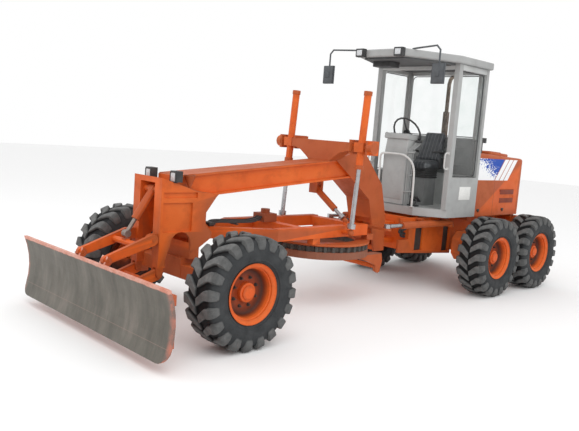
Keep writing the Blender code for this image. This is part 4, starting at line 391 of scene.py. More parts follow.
def scrapedBlade(look):
    # Scraped steel on the front face, an orange band along the top, orange behind
    finish = Finish("scrapedBladeSteel")
    scrapes = finish.noise(*look["scrapes"])
    steel = finish.ramp(scrapes, look["steel"])
    fine = finish.noise(*look["fine"])
    rubbed = finish.fade(fine, look["fineEnds"], high=look["fineMost"])
    steel = finish.mix(rubbed, steel, look["rubbed"])
    high = finish.axis("Z")
    across = finish.absolute(finish.axis("Y"))
    joint = finish.times(finish.between(high, *look["joint"]), look["jointShare"])
    steel = finish.mix(joint, steel, look["jointColour"])
    orange = agedColour(finish, bodyPaint)[0]
    chalk = finish.patches(look["chalkNoise"], look["chalk"])
    ragged = finish.times(finish.noise(*look["ragged"]), look["raggedDeep"])
    topBand = finish.rise(finish.plus(high, ragged), *look["topBand"])
    endWear = finish.rise(finish.plus(across, ragged), *look["endWear"])
    facing = finish.add("ShaderNodeTexCoord").outputs["Normal"]
    notFront = finish.rise(finish.axis("X", facing), *look["front"])
    behind = finish.rise(finish.axis("X", facing), *look["behind"])
    kept = finish.most(finish.most(topBand, finish.times(endWear, look["endShare"])), notFront)
    rust = finish.patches(look["rustNoise"], look["rust"])
    pinSide = finish.rise(finish.absolute(finish.axis("Y", facing)), *look["sideways"])
    pinSide = finish.times(pinSide, finish.rise(across, *look["inboard"]))
    painted = finish.mix(finish.rise(across, *look["rusty"]), orange, rust)
    painted = finish.mix(topBand, painted, chalk)
    painted = finish.mix(finish.most(behind, pinSide), painted, orange)
    finish.give("Base Color", finish.mix(kept, steel, painted))
    finish.give("Metallic", finish.times(finish.minus(1.0, kept), look["metal"]))
    finish.give("Roughness", finish.ramp(scrapes, look["gloss"]))
    finish.bump(fine, *look["fineBump"])
    return finish.material


bladeSteel = scrapedBlade(bladeLook)

hoodStripes = {
    "low": 1.583, "high": 1.905, "side": (0.59, 0.595), "soft": 0.002, "lean": 0.8,
    "blueEnd": -5.545, "blueSoft": 0.004, "blue": (0.012, 0.07, 0.4), "white": (0.86, 0.87, 0.88),
    "dots": 42.0, "dotEnds": (-0.05, -0.01), "fadeLean": 3.2, "fadeEnds": (0.22, 1.05),
    "bands": (0.02, 0.155, 0.29), "bandWide": 0.115,
    "seams": (-5.314, -6.06), "seamHalf": 0.003, "seamTop": (1.585, 1.575), "seam": (0.12, 0.03, 0.015),
}


def stripedHood(look):
    # Orange hood with a bare blue field and slanted white bands on both sides
    finish = Finish("stripedHoodPaint")
    colour, grime = agedColour(finish, bodyPaint)
    high = finish.axis("Z")
    side = finish.rise(finish.absolute(finish.axis("Y")), *look["side"])
    patch = finish.times(side, finish.between(high, look["low"], look["high"], look["soft"]))
    drop = finish.times(finish.minus(look["high"], high), look["lean"])
    slanted = finish.minus(finish.axis("X"), drop)
    start = frontAxleX + look["blueEnd"]
    field = finish.times(patch, finish.rise(slanted, start - look["blueSoft"], start))
    fade = finish.plus(finish.minus(slanted, start), finish.times(drop, look["fadeLean"]))
    fade = finish.rise(fade, *look["fadeEnds"])
    dots = finish.minus(finish.cells(look["dots"], (1.0, 0.0, 1.0)), fade)
    blue = finish.mix(finish.rise(dots, *look["dotEnds"]), look["white"], look["blue"])
    colour = finish.mix(field, colour, blue)
    for offset in look["bands"]:
        front = start - offset
        band = finish.between(slanted, front - look["bandWide"], front, look["soft"])
        colour = finish.mix(finish.times(patch, band), colour, look["white"])
    half = look["seamHalf"]
    for x in look["seams"]:
        seam = frontAxleX + x
        line = finish.times(finish.between(finish.axis("X"), seam - half, seam + half, look["soft"]), side)
        line = finish.times(line, finish.rise(high, *look["seamTop"]))
        colour = finish.mix(line, colour, look["seam"])
    return closePaint(finish, colour, grime, bodyPaint)


sleeveLook = {
    "rustNoise": (20.0, 6.0, 0.7), "rust": ((0.3, (0.09, 0.06, 0.045)), (0.7, (0.28, 0.22, 0.17))),
    "holes": 70.0, "holeStretch": (1.0, 1.0, 0.8), "holeEnds": (0.3, 0.36), "hole": (0.015, 0.013, 0.012),
    "sleeve": (2.1, 2.56, 0.003), "rough": 0.6, "metal": 0.35, "grain": (60.0, 4.0),
    "grainBump": (0.3, 0.002),
}


def perforatedSleeve(look):
    # Rusty exhaust pipe inside a sleeve with punched holes
    finish = Finish("perforatedSleeve")
    rust = finish.patches(look["rustNoise"], look["rust"])
    holes = finish.rise(finish.cells(look["holes"], look["holeStretch"]), *look["holeEnds"])
    sleeve = finish.between(finish.axis("Z"), *look["sleeve"])
    shown = finish.mix(finish.times(sleeve, finish.minus(1.0, holes)), rust, look["hole"])
    finish.give("Base Color", shown)
    finish.give("Roughness", look["rough"])
    finish.give("Metallic", look["metal"])
    finish.bump(finish.noise(*look["grain"]), *look["grainBump"])
    return finish.material


vinylLook = {
    "noise": (16.0, 5.0, 0.6), "tones": ((0.3, (0.026, 0.029, 0.033)), (0.75, (0.06, 0.065, 0.071))),
    "pitch": 0.058, "pipingEnds": (0.1, 0.04), "pipingShare": 0.5, "piping": (0.2, 0.21, 0.22),
    "glossNoise": (30.0, 4.0), "gloss": ((0.3, 0.42), (0.8, 0.6)), "fuzz": 0.12, "pores": 420.0,
    "poreBump": (0.2, 0.001),
}


def seatVinyl(look):
    # Dark vinyl with paler piping along the sewn channels
    finish = Finish("seatVinyl")
    colour = finish.patches(look["noise"], look["tones"])
    share = finish.calc("FRACT", finish.calc("DIVIDE", finish.axis("Y"), look["pitch"]))
    off = finish.absolute(finish.minus(share, 0.5))
    piping = finish.times(finish.rise(off, *look["pipingEnds"]), look["pipingShare"])
    finish.give("Base Color", finish.mix(piping, colour, look["piping"]))
    finish.give("Roughness", finish.patches(look["glossNoise"], look["gloss"]))
    finish.give("Sheen Weight", look["fuzz"])
    finish.bump(finish.cells(look["pores"]), *look["poreBump"])
    return finish.material


paneLook = {
    "rough": 0.03, "bend": 1.2, "hazeNoise": (5.0, 4.0),
    "haze": ((0.3, (0.9, 0.93, 0.92)), (0.8, (0.96, 0.97, 0.97))),
}


def clearPane(look):
    finish = Finish("clearCabGlass")
    finish.give("Transmission Weight", 1.0)
    finish.give("Roughness", look["rough"])
    finish.give("IOR", look["bend"])
    finish.give("Base Color", finish.patches(look["hazeNoise"], look["haze"]))
    return finish.material


circleLook = {
    "teeth": (0.7, 0.764, 0.002), "ironNoise": (22.0, 5.0, 0.7),
    "iron": ((0.3, (0.035, 0.032, 0.03)), (0.75, (0.12, 0.1, 0.085))),
    "lower": (0.6, 0.7, 0.002), "lowerShare": 0.6, "dust": (0.12, 0.085, 0.065),
}


def toothedCircle(look):
    # The toothed band is oily iron, the flange below it dusty, the rest painted
    finish = Finish("toothedCirclePaint")
    colour, grime = agedColour(finish, bodyPaint)
    teeth = finish.between(finish.axis("Z"), *look["teeth"])
    iron = finish.patches(look["ironNoise"], look["iron"])
    lower = finish.between(finish.axis("Z"), *look["lower"])
    dusty = finish.mix(finish.times(lower, look["lowerShare"]), colour, look["dust"])
    return closePaint(finish, finish.mix(teeth, dusty, iron), grime, bodyPaint)


seatCover = seatVinyl(vinylLook)
slotFinish = {
    "orange_paint": orangeBody, "grey_paint": greyCab, "rubber": tyreRubber, "blade_steel": bladeSteel,
    "chrome_rod": chromeRod, "black_plastic": blackTrim, "dark_metal": darkIron,
    "rusty_pipe": perforatedSleeve(sleeveLook), "seat_vinyl": seatCover, "clear_glass": clearPane(paneLook),
    "mirror_housing": housing, "lamp_body": blackTrim,
}
nodeFinish = {
    "engine_hood": stripedHood(hoodStripes), "circle": toothedCircle(circleLook),
    "circle_drive": rustyOrange,
    "seat_base": greyLining, "dozer_rod": dullRod,
}
for row in frame["record"]["subparts"]:
    mesh = nodes[row["node"]].data
    mesh.materials.clear()
    mesh.materials.append(nodeFinish.get(row["node"], slotFinish[row["material_slot"]]))
print("finishes set on the frame")


# Mesh helpers
bothSides = (1.0, -1.0)
crisp, plain, loose = 30.0, 38.0, 60.0


def turned(degrees, letter):
    return Matrix.Rotation(math.radians(degrees), 4, letter)


def along(x, y, z, side=1.0):
    # A point given from the front axle, mirrored for the right side
    return Vector((frontAxleX + x, side * y, z))


def placed(spot, turn=Matrix(), side=1.0):
    # A place and turn for a round part, mirrored for the right side
    mirror = Matrix.Scale(side, 4, (0.0, 1.0, 0.0))
    return Matrix.Translation(along(*spot, side)) @ mirror @ turn @ mirror


def addPiece(name, work, body, material, sharp=plain):
    bmesh.ops.recalc_face_normals(work, faces=work.faces)
    mesh = bpy.data.meshes.new(name)
    work.to_mesh(mesh)
    work.free()
    mesh.shade_smooth()
    mesh.set_sharp_from_angle(angle=math.radians(sharp))
    mesh.materials.append(material)
    item = bpy.data.objects.new(name, mesh)
    bpy.context.scene.collection.objects.link(item)
    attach(item, body)
    return item


def shareMesh(name, source, body, place):
    # Another object on the same mesh, for wheels that are all alike
    item = bpy.data.objects.new(name, source.data)
    bpy.context.scene.collection.objects.link(item)
    item.matrix_world = place
    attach(item, body)
    return item


def joinRings(work, rings, closed=False, capped=False):
    pairs = list(zip(rings, rings[1:]))
    if closed:
        pairs.append((rings[-1], rings[0]))
    for first, second in pairs:
        count = max(len(first), len(second))
        for i in range(count):
            j = (i + 1) % count
            near, far = len(first), len(second)
            corners = (first[i % near], first[j % near], second[j % far], second[i % far])
            corners = list(dict.fromkeys(corners))
            if len(corners) > 2:
                work.faces.new(corners)
    if capped:
        work.faces.new(rings[0])
        work.faces.new(rings[-1])


def roundAngles(count):
    return [2 * math.pi * i / count for i in range(count)]


def lathe(work, profile, segments, place=None, closed=False):
    # Turns a profile of (radius, height) about the local Z axis
    place = place or Matrix()
    rings = []
    for radius, height in profile:
        angles = roundAngles(segments) if radius > 0.0 else [0.0]
        points = [Vector((radius * math.cos(a), radius * math.sin(a), height)) for a in angles]
        rings.append([work.verts.new(place @ point) for point in points])
    joinRings(work, rings, closed)


def curvedPath(points, steps=6):
    # A smooth curve through every point
    points = [Vector(point) for point in points]
    ends = [2 * points[0] - points[1], *points, 2 * points[-1] - points[-2]]
    path = []
    for before, start, end, after in zip(ends, ends[1:], ends[2:], ends[3:]):
        for step in range(steps):
            t = step / steps
            path.append(0.5 * (
                2 * start + (end - before) * t + (2 * before - 5 * start + 4 * end - after) * t ** 2
                + (3 * start - before - 3 * end + after) * t ** 3
            ))
    return [*path, points[-1]]


def ringAround(work, point, radius, first, second, sides):
    outs = [first * math.cos(a) + second * math.sin(a) for a in roundAngles(sides)]
    return [work.verts.new(point + radius * out) for out in outs]


def tube(work, points, radius, sides=10):
    # A round tube along a path; radius is one number or one for each point
    radii = radius if isinstance(radius, list) else [radius] * len(points)
    points = [Vector(point) for point in points]
    side = None
    rings = []
    for i, point in enumerate(points):
        run = (points[min(i + 1, len(points) - 1)] - points[max(i - 1, 0)]).normalized()
        if side is None:
            side = run.orthogonal().normalized()
        side = (side - run * side.dot(run)).normalized()
        rings.append(ringAround(work, point, radii[i], side, run.cross(side), sides))
    joinRings(work, rings, capped=True)


def ringTube(work, points, radius, sides=8):
    # A closed tube through a flat ring of points
    count = len(points)
    normal = (points[1] - points[0]).cross(points[count // 3] - points[0]).normalized()
    rings = []
    for i, point in enumerate(points):
        run = (points[(i + 1) % count] - points[i - 1]).normalized()
        rings.append(ringAround(work, point, radius, normal, run.cross(normal), sides))
    joinRings(work, rings, closed=True)


def slab(work, first, second, edge, turn=None, steps=2):
    # A block between two opposite corners with rounded edges, turned about its middle where asked
    low = Vector([min(pair) for pair in zip(first, second)])
    high = Vector([max(pair) for pair in zip(first, second)])
    made = bmesh.ops.create_cube(work, size=1.0)["verts"]
    size = high - low
    for vert in made:
        vert.co = Vector((vert.co.x * size.x, vert.co.y * size.y, vert.co.z * size.z))
        if turn:
            vert.co = turn @ vert.co
        vert.co += (low + high) / 2
    edges = list({line for vert in made for line in vert.link_edges})
    bmesh.ops.bevel(work, geom=edges, offset=edge, segments=steps, affect="EDGES", profile=0.5)


def addForms(work, forms, side=1.0):
    # Blocks, tubes through points, and parts turned on a lathe, each at all its spots
    for low, high, *rest in forms.get("blocks", ()):
        slab(work, along(*low, side), along(*high, side), *rest)
    for points, *rest in forms.get("tubes", ()):
        tube(work, curvedPath([along(*point, side) for point in points]), *rest)
    for profile, segments, spots, *turn in forms.get("turnings", ()):
        for spot in spots:
            lathe(work, profile, segments, placed(spot, *turn, side=side))


def build(name, part, side=1.0):
    # A whole piece from its dictionary; what is under "paired" comes on both sides
    work = bmesh.new()
    addForms(work, part, side)
    for other in bothSides:
        addForms(work, part.get("paired", {}), other)
    body, sharp = part.get("body", "rear_frame"), part.get("sharp", plain)
    addPiece(name, work, body, part["finish"], sharp)


# Tyres: lugs that slant out from the middle, then run straight across the shoulder
tyre = {
    "lugs": 20, "segments": 100, "lugShift": 0.26, "slant": 0.46,
    # Carcass points: half width, radius
    "carcass": [
        (0.0, 0.517), (0.06, 0.517), (0.11, 0.516), (0.14, 0.512), (0.16, 0.503), (0.174, 0.488),
        (0.183, 0.468), (0.191, 0.44), (0.197, 0.41), (0.198, 0.38), (0.193, 0.35), (0.187, 0.334),
        (0.189, 0.328), (0.186, 0.321), (0.176, 0.318), (0.168, 0.306), (0.16, 0.295), (0.1475, 0.268),
    ],
    "bore": 0.266,
    # Lug stations: foot half width and radius, top half width and radius, turn share, half breadth
    "stations": [
        (0.006, 0.514, 0.010, 0.5475, -1.12, 0.037), (0.04, 0.514, 0.042, 0.5495, -0.82, 0.04),
        (0.075, 0.514, 0.076, 0.5497, -0.46, 0.042), (0.106, 0.513, 0.108, 0.5495, -0.15, 0.044),
        (0.13, 0.51, 0.134, 0.549, -0.02, 0.046), (0.155, 0.504, 0.164, 0.546, 0.0, 0.047),
        (0.166, 0.495, 0.184, 0.536, 0.0, 0.046), (0.174, 0.48, 0.197, 0.518, 0.0, 0.044),
        (0.182, 0.462, 0.2035, 0.495, 0.0, 0.042), (0.187, 0.445, 0.2052, 0.47, 0.0, 0.039),
        (0.192, 0.432, 0.2045, 0.446, 0.0, 0.034), (0.194, 0.42, 0.1985, 0.424, 0.0, 0.028),
    ],
    # Lug section: share of the half breadth, share of the way from foot to top
    "section": ((-1.18, 0.0), (-1.0, 0.86), (-0.88, 1.0), (0.88, 1.0), (1.0, 0.86), (1.18, 0.0)),
}


def lugRing(work, station, angle, side, pitch, part):
    footWide, footRadius, topWide, topRadius, turn, breadth = station
    middle = angle + turn * part["slant"] * pitch
    ring = []
    for offset, share in part["section"]:
        radius = footRadius + (topRadius - footRadius) * share
        wide = footWide + (topWide - footWide) * share
        at = middle + offset * breadth / radius
        ring.append(work.verts.new((radius * math.cos(at), side * wide, radius * math.sin(at))))
    return ring


def tyreWork(part):
    work = bmesh.new()
    half = part["carcass"]
    profile = [(r, w) for w, r in half] + [(part["bore"], 0.0)] + [(r, -w) for w, r in half[:0:-1]]
    lathe(work, profile, part["segments"], turned(-90, "X"), closed=True)
    pitch = 2 * math.pi / part["lugs"]
    for side, shift in ((1.0, 0.0), (-1.0, 0.5)):
        for lug in range(part["lugs"]):
            angle = (lug + shift + part["lugShift"]) * pitch
            rings = [lugRing(work, station, angle, side, pitch, part) for station in part["stations"]]
            joinRings(work, rings, capped=True)
    return work


rim = {
    "segments": 64, "nuts": 8, "nutRing": 0.142,
    # Radius, distance out from the middle of the wheel
    "outer": [
        (0.0, 0.1115), (0.045, 0.1105), (0.062, 0.108), (0.07, 0.102), (0.072, 0.09), (0.086, 0.087),
        (0.093, 0.083), (0.095, 0.076), (0.095, 0.04), (0.1, 0.0345), (0.17, 0.034), (0.195, 0.036),
        (0.212, 0.043), (0.222, 0.056), (0.229, 0.08), (0.236, 0.108), (0.24, 0.124), (0.25, 0.129),
        (0.2515, 0.146), (0.262, 0.155), (0.281, 0.158), (0.288, 0.163), (0.2915, 0.172),
        (0.2935, 0.1715), (0.294, 0.166), (0.289, 0.156), (0.262, 0.147),
    ],
    "inner": [
        (0.262, -0.147), (0.289, -0.156), (0.294, -0.166), (0.2915, -0.1715), (0.281, -0.158),
        (0.2515, -0.15), (0.248, -0.13), (0.246, 0.0), (0.235, 0.016), (0.0, 0.018),
    ],
    # Washer, hexagon nut and stud: segments, then radius and distance out
    "nut": (
        (14, ((0.0, 0.034), (0.0175, 0.034), (0.0175, 0.037), (0.0, 0.038))),
        (6, ((0.0, 0.034), (0.014, 0.034), (0.014, 0.051), (0.01204, 0.054), (0.0, 0.054))),
        (10, ((0.0, 0.034), (0.007, 0.034), (0.007, 0.066), (0.0, 0.067))),
    ),
}


def rimWork(part):
    work = bmesh.new()
    lathe(work, part["outer"] + part["inner"], part["segments"], turned(-90, "X"))
    return work


def nutWork(part):
    work = bmesh.new()
    for i in range(part["nuts"]):
        at = 2 * math.pi * (i + 0.5) / part["nuts"]
        spot = Vector((part["nutRing"] * math.cos(at), 0.0, part["nutRing"] * math.sin(at)))
        for segments, profile in part["nut"]:
            lathe(work, profile, segments, Matrix.Translation(spot) @ turned(-90, "X"))
    return work


wheelNames = [f"{place}_{side}" for place in ("front", "middle", "rear") for side in ("left", "right")]
wheelParts = (
    # Piece, how it is made, finish, slot, sharp angle, node that it replaces
    ("tyreTread", tyreWork, tyre, tyreRubber, "rubber", crisp, "tyre"),
    ("wheelRim", rimWork, rim, rimPaint, "orange_paint", 34.0, "rim"),
    ("wheelNuts", nutWork, rim, darkIron, "dark_metal", crisp, None),
)


def fitWheels():
    sources = {}
    for name in wheelNames:
        low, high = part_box(f"tyre_{name}")
        middle = (low + high) / 2
        outwards = Matrix() if middle.y > 0 else turned(180, "Z")
        body = f"wheel_{name}"
        for label, makeWork, part, finish, slotName, sharp, node in wheelParts:
            place = Matrix.Translation(middle) @ (Matrix() if label == "tyreTread" else outwards)
            if label in sources:
                item = shareMesh(f"{label}_{name}", sources[label], body, place)
            else:
                item = addPiece(f"{label}_{name}", makeWork(part), body, finish, sharp)
                item.matrix_world = place
                sources[label] = item
            if node:
                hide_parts(f"{node}_{name}")


fitWheels()
print("wheels fitted")


# Seat: a sewn back and cushion, swelled by a short cloth run
seat = {
    "edgeShare": 0.36, "taper": 1.6, "voxel": 0.0075, "quality": 5, "frames": 20, "pressure": 4.0,
    "most": 0.012,
    "channels": 6, "channelDeep": 0.007, "channelWide": 0.0065, "channelGap": 0.058,
    "facing": 0.25, "fadeEnd": 0.93, "fadeWide": 0.14,
    # Piece, axis that it faces, axis that it runs along, size, place, lean in degrees, narrowing
    "pads": (
        ("seatBack", 0, 2, (0.085, 0.43, 0.47), (-4.452, 0.0, 2.008), -19.0, 0.26),
        ("seatCushion", 2, 0, (0.43, 0.43, 0.1), (-4.2, 0.0, 1.752), 3.0, 0.06),
    ),
}


def softBlock(size, run, narrow, part):
    # A pad with well rounded edges whose far end is narrower
    work = bmesh.new()
    half = Vector(size) / 2
    slab(work, -half, half, min(size) * part["edgeShare"], steps=4)
    for vert in work.verts:
        share = vert.co[run] / size[run] + 0.5
        if run == 0:
            share = 1.0 - share
        vert.co.y *= 1.0 - narrow * max(share, 0.0) ** part["taper"]
    return work


def takeShape(item):
    # Keeps what the modifiers make as the piece's own mesh
    graph = bpy.context.evaluated_depsgraph_get()
    mesh = bpy.data.meshes.new_from_object(item.evaluated_get(graph))
    item.modifiers.clear()
    item.data = mesh
    return mesh


def swell(item, part):
    # Even mesh, then pressure from inside with every point held to a short move
    scene = bpy.context.scene
    even = item.modifiers.new("evenMesh", "REMESH")
    even.mode = "VOXEL"
    even.voxel_size = part["voxel"]
    mesh = takeShape(item)
    cloth = item.modifiers.new("stuffing", "CLOTH")
    cloth.settings.quality = part["quality"]
    cloth.settings.use_pressure = True
    cloth.settings.uniform_pressure_force = part["pressure"]
    cloth.settings.effector_weights.gravity = 0.0
    for number in range(part["frames"]):
        scene.frame_set(number + 1)
    graph = bpy.context.evaluated_depsgraph_get()
    ends = [vert.co.copy() for vert in item.evaluated_get(graph).data.vertices]
    item.modifiers.clear()
    scene.frame_set(1)
    for vert, after in zip(mesh.vertices, ends):
        move = after - vert.co
        if move.length > part["most"]:
            move *= part["most"] / move.length
        vert.co += move


def sewChannels(item, part, faceAxis, runAxis, size):
    mesh = item.data
    normals = [vert.normal.copy() for vert in mesh.vertices]
    middle = (part["channels"] - 1) / 2
    lines = [part["channelGap"] * (i - middle) for i in range(part["channels"])]
    for vert, normal in zip(mesh.vertices, normals):
        if normal[faceAxis] < part["facing"]:
            continue
        share = abs(vert.co[runAxis]) / (size[runAxis] / 2)
        fade = max(0.0, min(1.0, (part["fadeEnd"] - share) / part["fadeWide"]))
        nearest = min(abs(vert.co.y - line) for line in lines)
        vert.co -= normal * part["channelDeep"] * fade * math.exp(-(nearest / part["channelWide"]) ** 2)


def sewSeat(part):
    made = []
    for name, faceAxis, runAxis, size, spot, lean, narrow in part["pads"]:
        work = softBlock(size, runAxis, narrow, part)
        item = addPiece(name, work, "rear_frame", seatCover, loose)
        swell(item, part)
        sewChannels(item, part, faceAxis, runAxis, size)
        smoother = item.modifiers.new("smooth", "SUBSURF")
        smoother.levels = 1
        smoother.render_levels = 1
        takeShape(item).shade_smooth()
        item.matrix_world = placed(spot, turned(lean, "Y"))
        made.append(item)
    for item in made:
        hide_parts("seat")


seatStand = {
    "finish": blackTrim, "slot": "black_plastic",
    # A pan under the cushion, and pleated bellows below it
    "blocks": (
        ((-4.4, -0.2, 1.688), (-4.01, 0.2, 1.706), 0.006),
        *(
            ((-4.345, -0.205, z), (-4.035, 0.205, z + 0.029), 0.012)
            for z in (1.565, 1.596, 1.627, 1.658)
        ),
    ),
    # Hinge plates and arm rests
    "paired": {
        "blocks": (((-4.46, 0.2, 1.7), (-4.36, 0.212, 1.86), 0.005),),
        "tubes": (((
            (-4.43, 0.222, 1.93), (-4.38, 0.236, 1.94), (-4.2, 0.238, 1.945), (-4.13, 0.238, 1.94),
        ), 0.017),),
    },
}
sewSeat(seat)
build("seatFrame", seatStand)
print("seat sewn")


# Cab: hand rail, lever rods, pedals, handles, linings that paint shade, gaskets and plates
handRail = {
    "finish": whitePaint, "slot": "grey_paint",
    # One hoop across the front: square at the far corner, cut off slantwise at the near one
    "tubes": (((
        (-3.643, -0.301, 1.172), (-3.638, -0.301, 1.385), (-3.622, -0.3, 1.745), (-3.612, -0.292, 1.835),
        (-3.604, -0.262, 1.873), (-3.598, -0.2, 1.885), (-3.598, -0.1, 1.885), (-3.598, 0.08, 1.883),
        (-3.602, 0.17, 1.855), (-3.61, 0.245, 1.8), (-3.622, 0.288, 1.715), (-3.632, 0.3, 1.585),
        (-3.638, 0.301, 1.385), (-3.643, 0.301, 1.172),
    ), 0.0145, 12),),
    "turnings": ((
        ((0.0, -0.002), (0.03, -0.002), (0.03, 0.006), (0.018, 0.01), (0.0, 0.011)), 18,
        ((-3.643, 0.301, 1.172), (-3.643, -0.301, 1.172)),
    ),),
}
build("cabHandRail", handRail)
levers = {
    "count": 4, "gap": 0.034, "first": (-3.685, 0.142, 0.0), "sides": 8,
    "rod": ((0.0, 0.0, 1.172), (0.0, 0.0, 1.5), (-0.005, 0.0, 1.93)), "rodRadius": 0.0065,
    "bend": ((-0.005, 0.0, 1.925), (-0.02, 0.004, 1.965), (-0.1, 0.012, 2.02), (-0.13, 0.016, 2.06)),
    "bendRadius": 0.0062,
    "collar": ((0.0, 1.588), (0.012, 1.588), (0.012, 1.612), (0.0, 1.612)), "collarSides": 10,
    "knob": (-0.135, 0.017, 2.074), "knobRadius": 0.019, "knobHalf": 0.021, "knobRings": 8, "knobSides": 14,
    # Guide plates that the rods pass through
    "blocks": (
        ((-3.81, 0.112, 1.905), (-3.67, 0.158, 1.93), 0.004),
        ((-3.81, 0.112, 1.36), (-3.67, 0.158, 1.378), 0.004),
    ),
}


def leverRods(part):
    work = bmesh.new()
    knobs = bmesh.new()
    turns = [math.pi * k / part["knobRings"] for k in range(part["knobRings"] + 1)]
    ball = [(part["knobRadius"] * math.sin(a), -part["knobHalf"] * math.cos(a)) for a in turns]
    # Both poles are exactly on the axis
    ball[0], ball[-1] = (0.0, ball[0][1]), (0.0, ball[-1][1])
    for i in range(part["count"]):
        foot = along(*part["first"]) - Vector((part["gap"] * i, 0.0, 0.0))
        rod, bend = ([foot + Vector(point) for point in part[key]] for key in ("rod", "bend"))
        tube(work, rod, part["rodRadius"], part["sides"])
        tube(work, curvedPath(bend), part["bendRadius"], part["sides"])
        lathe(work, part["collar"], part["collarSides"], Matrix.Translation(foot))
        lathe(knobs, ball, part["knobSides"], Matrix.Translation(foot + Vector(part["knob"])))
    addForms(work, part)
    addPiece("leverRods", work, "rear_frame", greyCab)
    addPiece("leverKnobs", knobs, "rear_frame", blackTrim)


leverRods(levers)
pedals = {
    "tilt": 38.0, "across": (0.165, 0.25),
    "pad": ((-3.9, -0.03, 1.262), (-3.79, 0.03, 1.276)), "padEdge": 0.005,
    "ribs": 5, "ribFirst": -3.885, "ribGap": 0.02, "ribMiddle": -3.845, "ribHigh": 1.278,
    "rib": ((-0.003, -0.026, 0.0), (0.003, 0.026, 0.008)), "ribEdge": 0.0015,
    "stem": ((-3.83, 0.0, 1.275), (-3.79, 0.0, 1.2), (-3.78, 0.0, 1.171)),
    "stemRadius": 0.011, "stemSides": 8,
    "blocks": (((-3.84, 0.13, 1.17), (-3.75, 0.285, 1.19), 0.004),),
}


def footPedals(part):
    work = bmesh.new()
    tilt = turned(-part["tilt"], "Y")
    for y in part["across"]:
        corners = [along(*corner) + Vector((0.0, y, 0.0)) for corner in part["pad"]]
        slab(work, *corners, part["padEdge"], tilt)
        for i in range(part["ribs"]):
            x = part["ribFirst"] + part["ribGap"] * i
            rise = math.tan(math.radians(part["tilt"])) * (x - part["ribMiddle"])
            corners = [along(*corner) + Vector((x, y, part["ribHigh"] + rise)) for corner in part["rib"]]
            slab(work, *corners, part["ribEdge"], tilt)
        tube(work, [along(x, y, z) for x, _, z in part["stem"]], part["stemRadius"], part["stemSides"])
    addForms(work, part)
    addPiece("footPedals", work, "rear_frame", blackTrim)


footPedals(pedals)
grips = {
    "finish": whitePaint, "slot": "grey_paint",
    "paired": {
        "tubes": (((
            (-3.883, 0.657, 1.945), (-3.835, 0.657, 1.95), (-3.8, 0.657, 1.925), (-3.797, 0.657, 1.84),
            (-3.8, 0.657, 1.755), (-3.835, 0.657, 1.73), (-3.883, 0.657, 1.735),
        ), 0.0105),),
        "blocks": (
            ((-3.886, 0.637, 1.925), (-3.879, 0.677, 1.965), 0.003),
            ((-3.886, 0.637, 1.715), (-3.879, 0.677, 1.755), 0.003),
        ),
    },
}
build("postHandles", grips)


def roundedLoop(low, high, corner, steps=5):
    # Corner points of a rounded rectangle in two directions
    points = []
    for cx, cz, start in (
        (high[0] - corner, high[1] - corner, 0), (low[0] + corner, high[1] - corner, 90),
        (low[0] + corner, low[1] + corner, 180), (high[0] - corner, low[1] + corner, 270),
    ):
        for step in range(steps + 1):
            at = math.radians(start + 90 * step / steps)
            points.append((cx + corner * math.cos(at), cz + corner * math.sin(at)))
    return points


gaskets = {
    "radius": 0.0065, "corner": 0.07,
    "sideLow": (-4.588, 1.634), "sideHigh": (-3.988, 3.062), "sideY": 0.6535,
    "rearLow": (-0.603, 2.194), "rearHigh": (0.603, 3.066), "rearX": -4.649,
}


def windowGaskets(part):
    work = bmesh.new()
    loop = roundedLoop(part["sideLow"], part["sideHigh"], part["corner"])
    for side in bothSides:
        ringTube(work, [along(x, part["sideY"], z, side) for x, z in loop], part["radius"])
    loop = roundedLoop(part["rearLow"], part["rearHigh"], part["corner"])
    ringTube(work, [along(part["rearX"], y, z) for y, z in loop], part["radius"])
    addPiece("windowGaskets", work, "rear_frame", softRubber, loose)


windowGaskets(gaskets)
wallShadeLining = {
    "finish": greyLining, "slot": "grey_paint",
    # A dark grey sheet with two pressed swages, which paints the shade on the inside of the rear wall
    "blocks": (
        ((-4.629, -0.605, 1.64), (-4.615, 0.605, 2.165), 0.006),
        ((-4.618, -0.5, 1.768), (-4.609, 0.5, 1.792), 0.004),
        ((-4.618, -0.5, 2.018), (-4.609, 0.5, 2.042), 0.004),
    ),
}
build("rearWallShadeLining", wallShadeLining)
postCovers = {
    "finish": greyCab, "slot": "grey_paint",
    "paired": {"blocks": (
        ((-4.635, 0.585, 2.15), (-4.552, 0.646, 3.146), 0.012),
        ((-4.556, 0.625, 2.15), (-4.548, 0.642, 3.14), 0.003),
    )},
}
build("rearPostCovers", postCovers)
shadeHeadliner = {
    "outline": ((-3.12, -0.33), (-3.12, 0.33), (-3.78, 0.62), (-4.6, 0.62), (-4.6, -0.62), (-3.78, -0.62)),
    # Inset and height of each edge
    "edges": ((0.012, 3.126), (0.0, 3.138), (0.0, 3.152)),
    "blocks": (
        ((-4.23, -0.56, 3.118), (-4.17, 0.56, 3.13), 0.005),
        ((-3.87, -0.56, 3.118), (-3.81, 0.56, 3.13), 0.005),
    ),
}


def roofLining(part):
    # A dark sheet under the roof that paints the roof's shade; it follows the roof's outline, with two
    # raised ribs
    work = bmesh.new()
    joinRings(work, [
        [work.verts.new(along(x + inset, y * (1.0 - inset), z)) for x, y in part["outline"]]
        for inset, z in part["edges"]
    ], capped=True)
    addForms(work, part)
    addPiece("roofShadeHeadliner", work, "rear_frame", roofShadeLining)


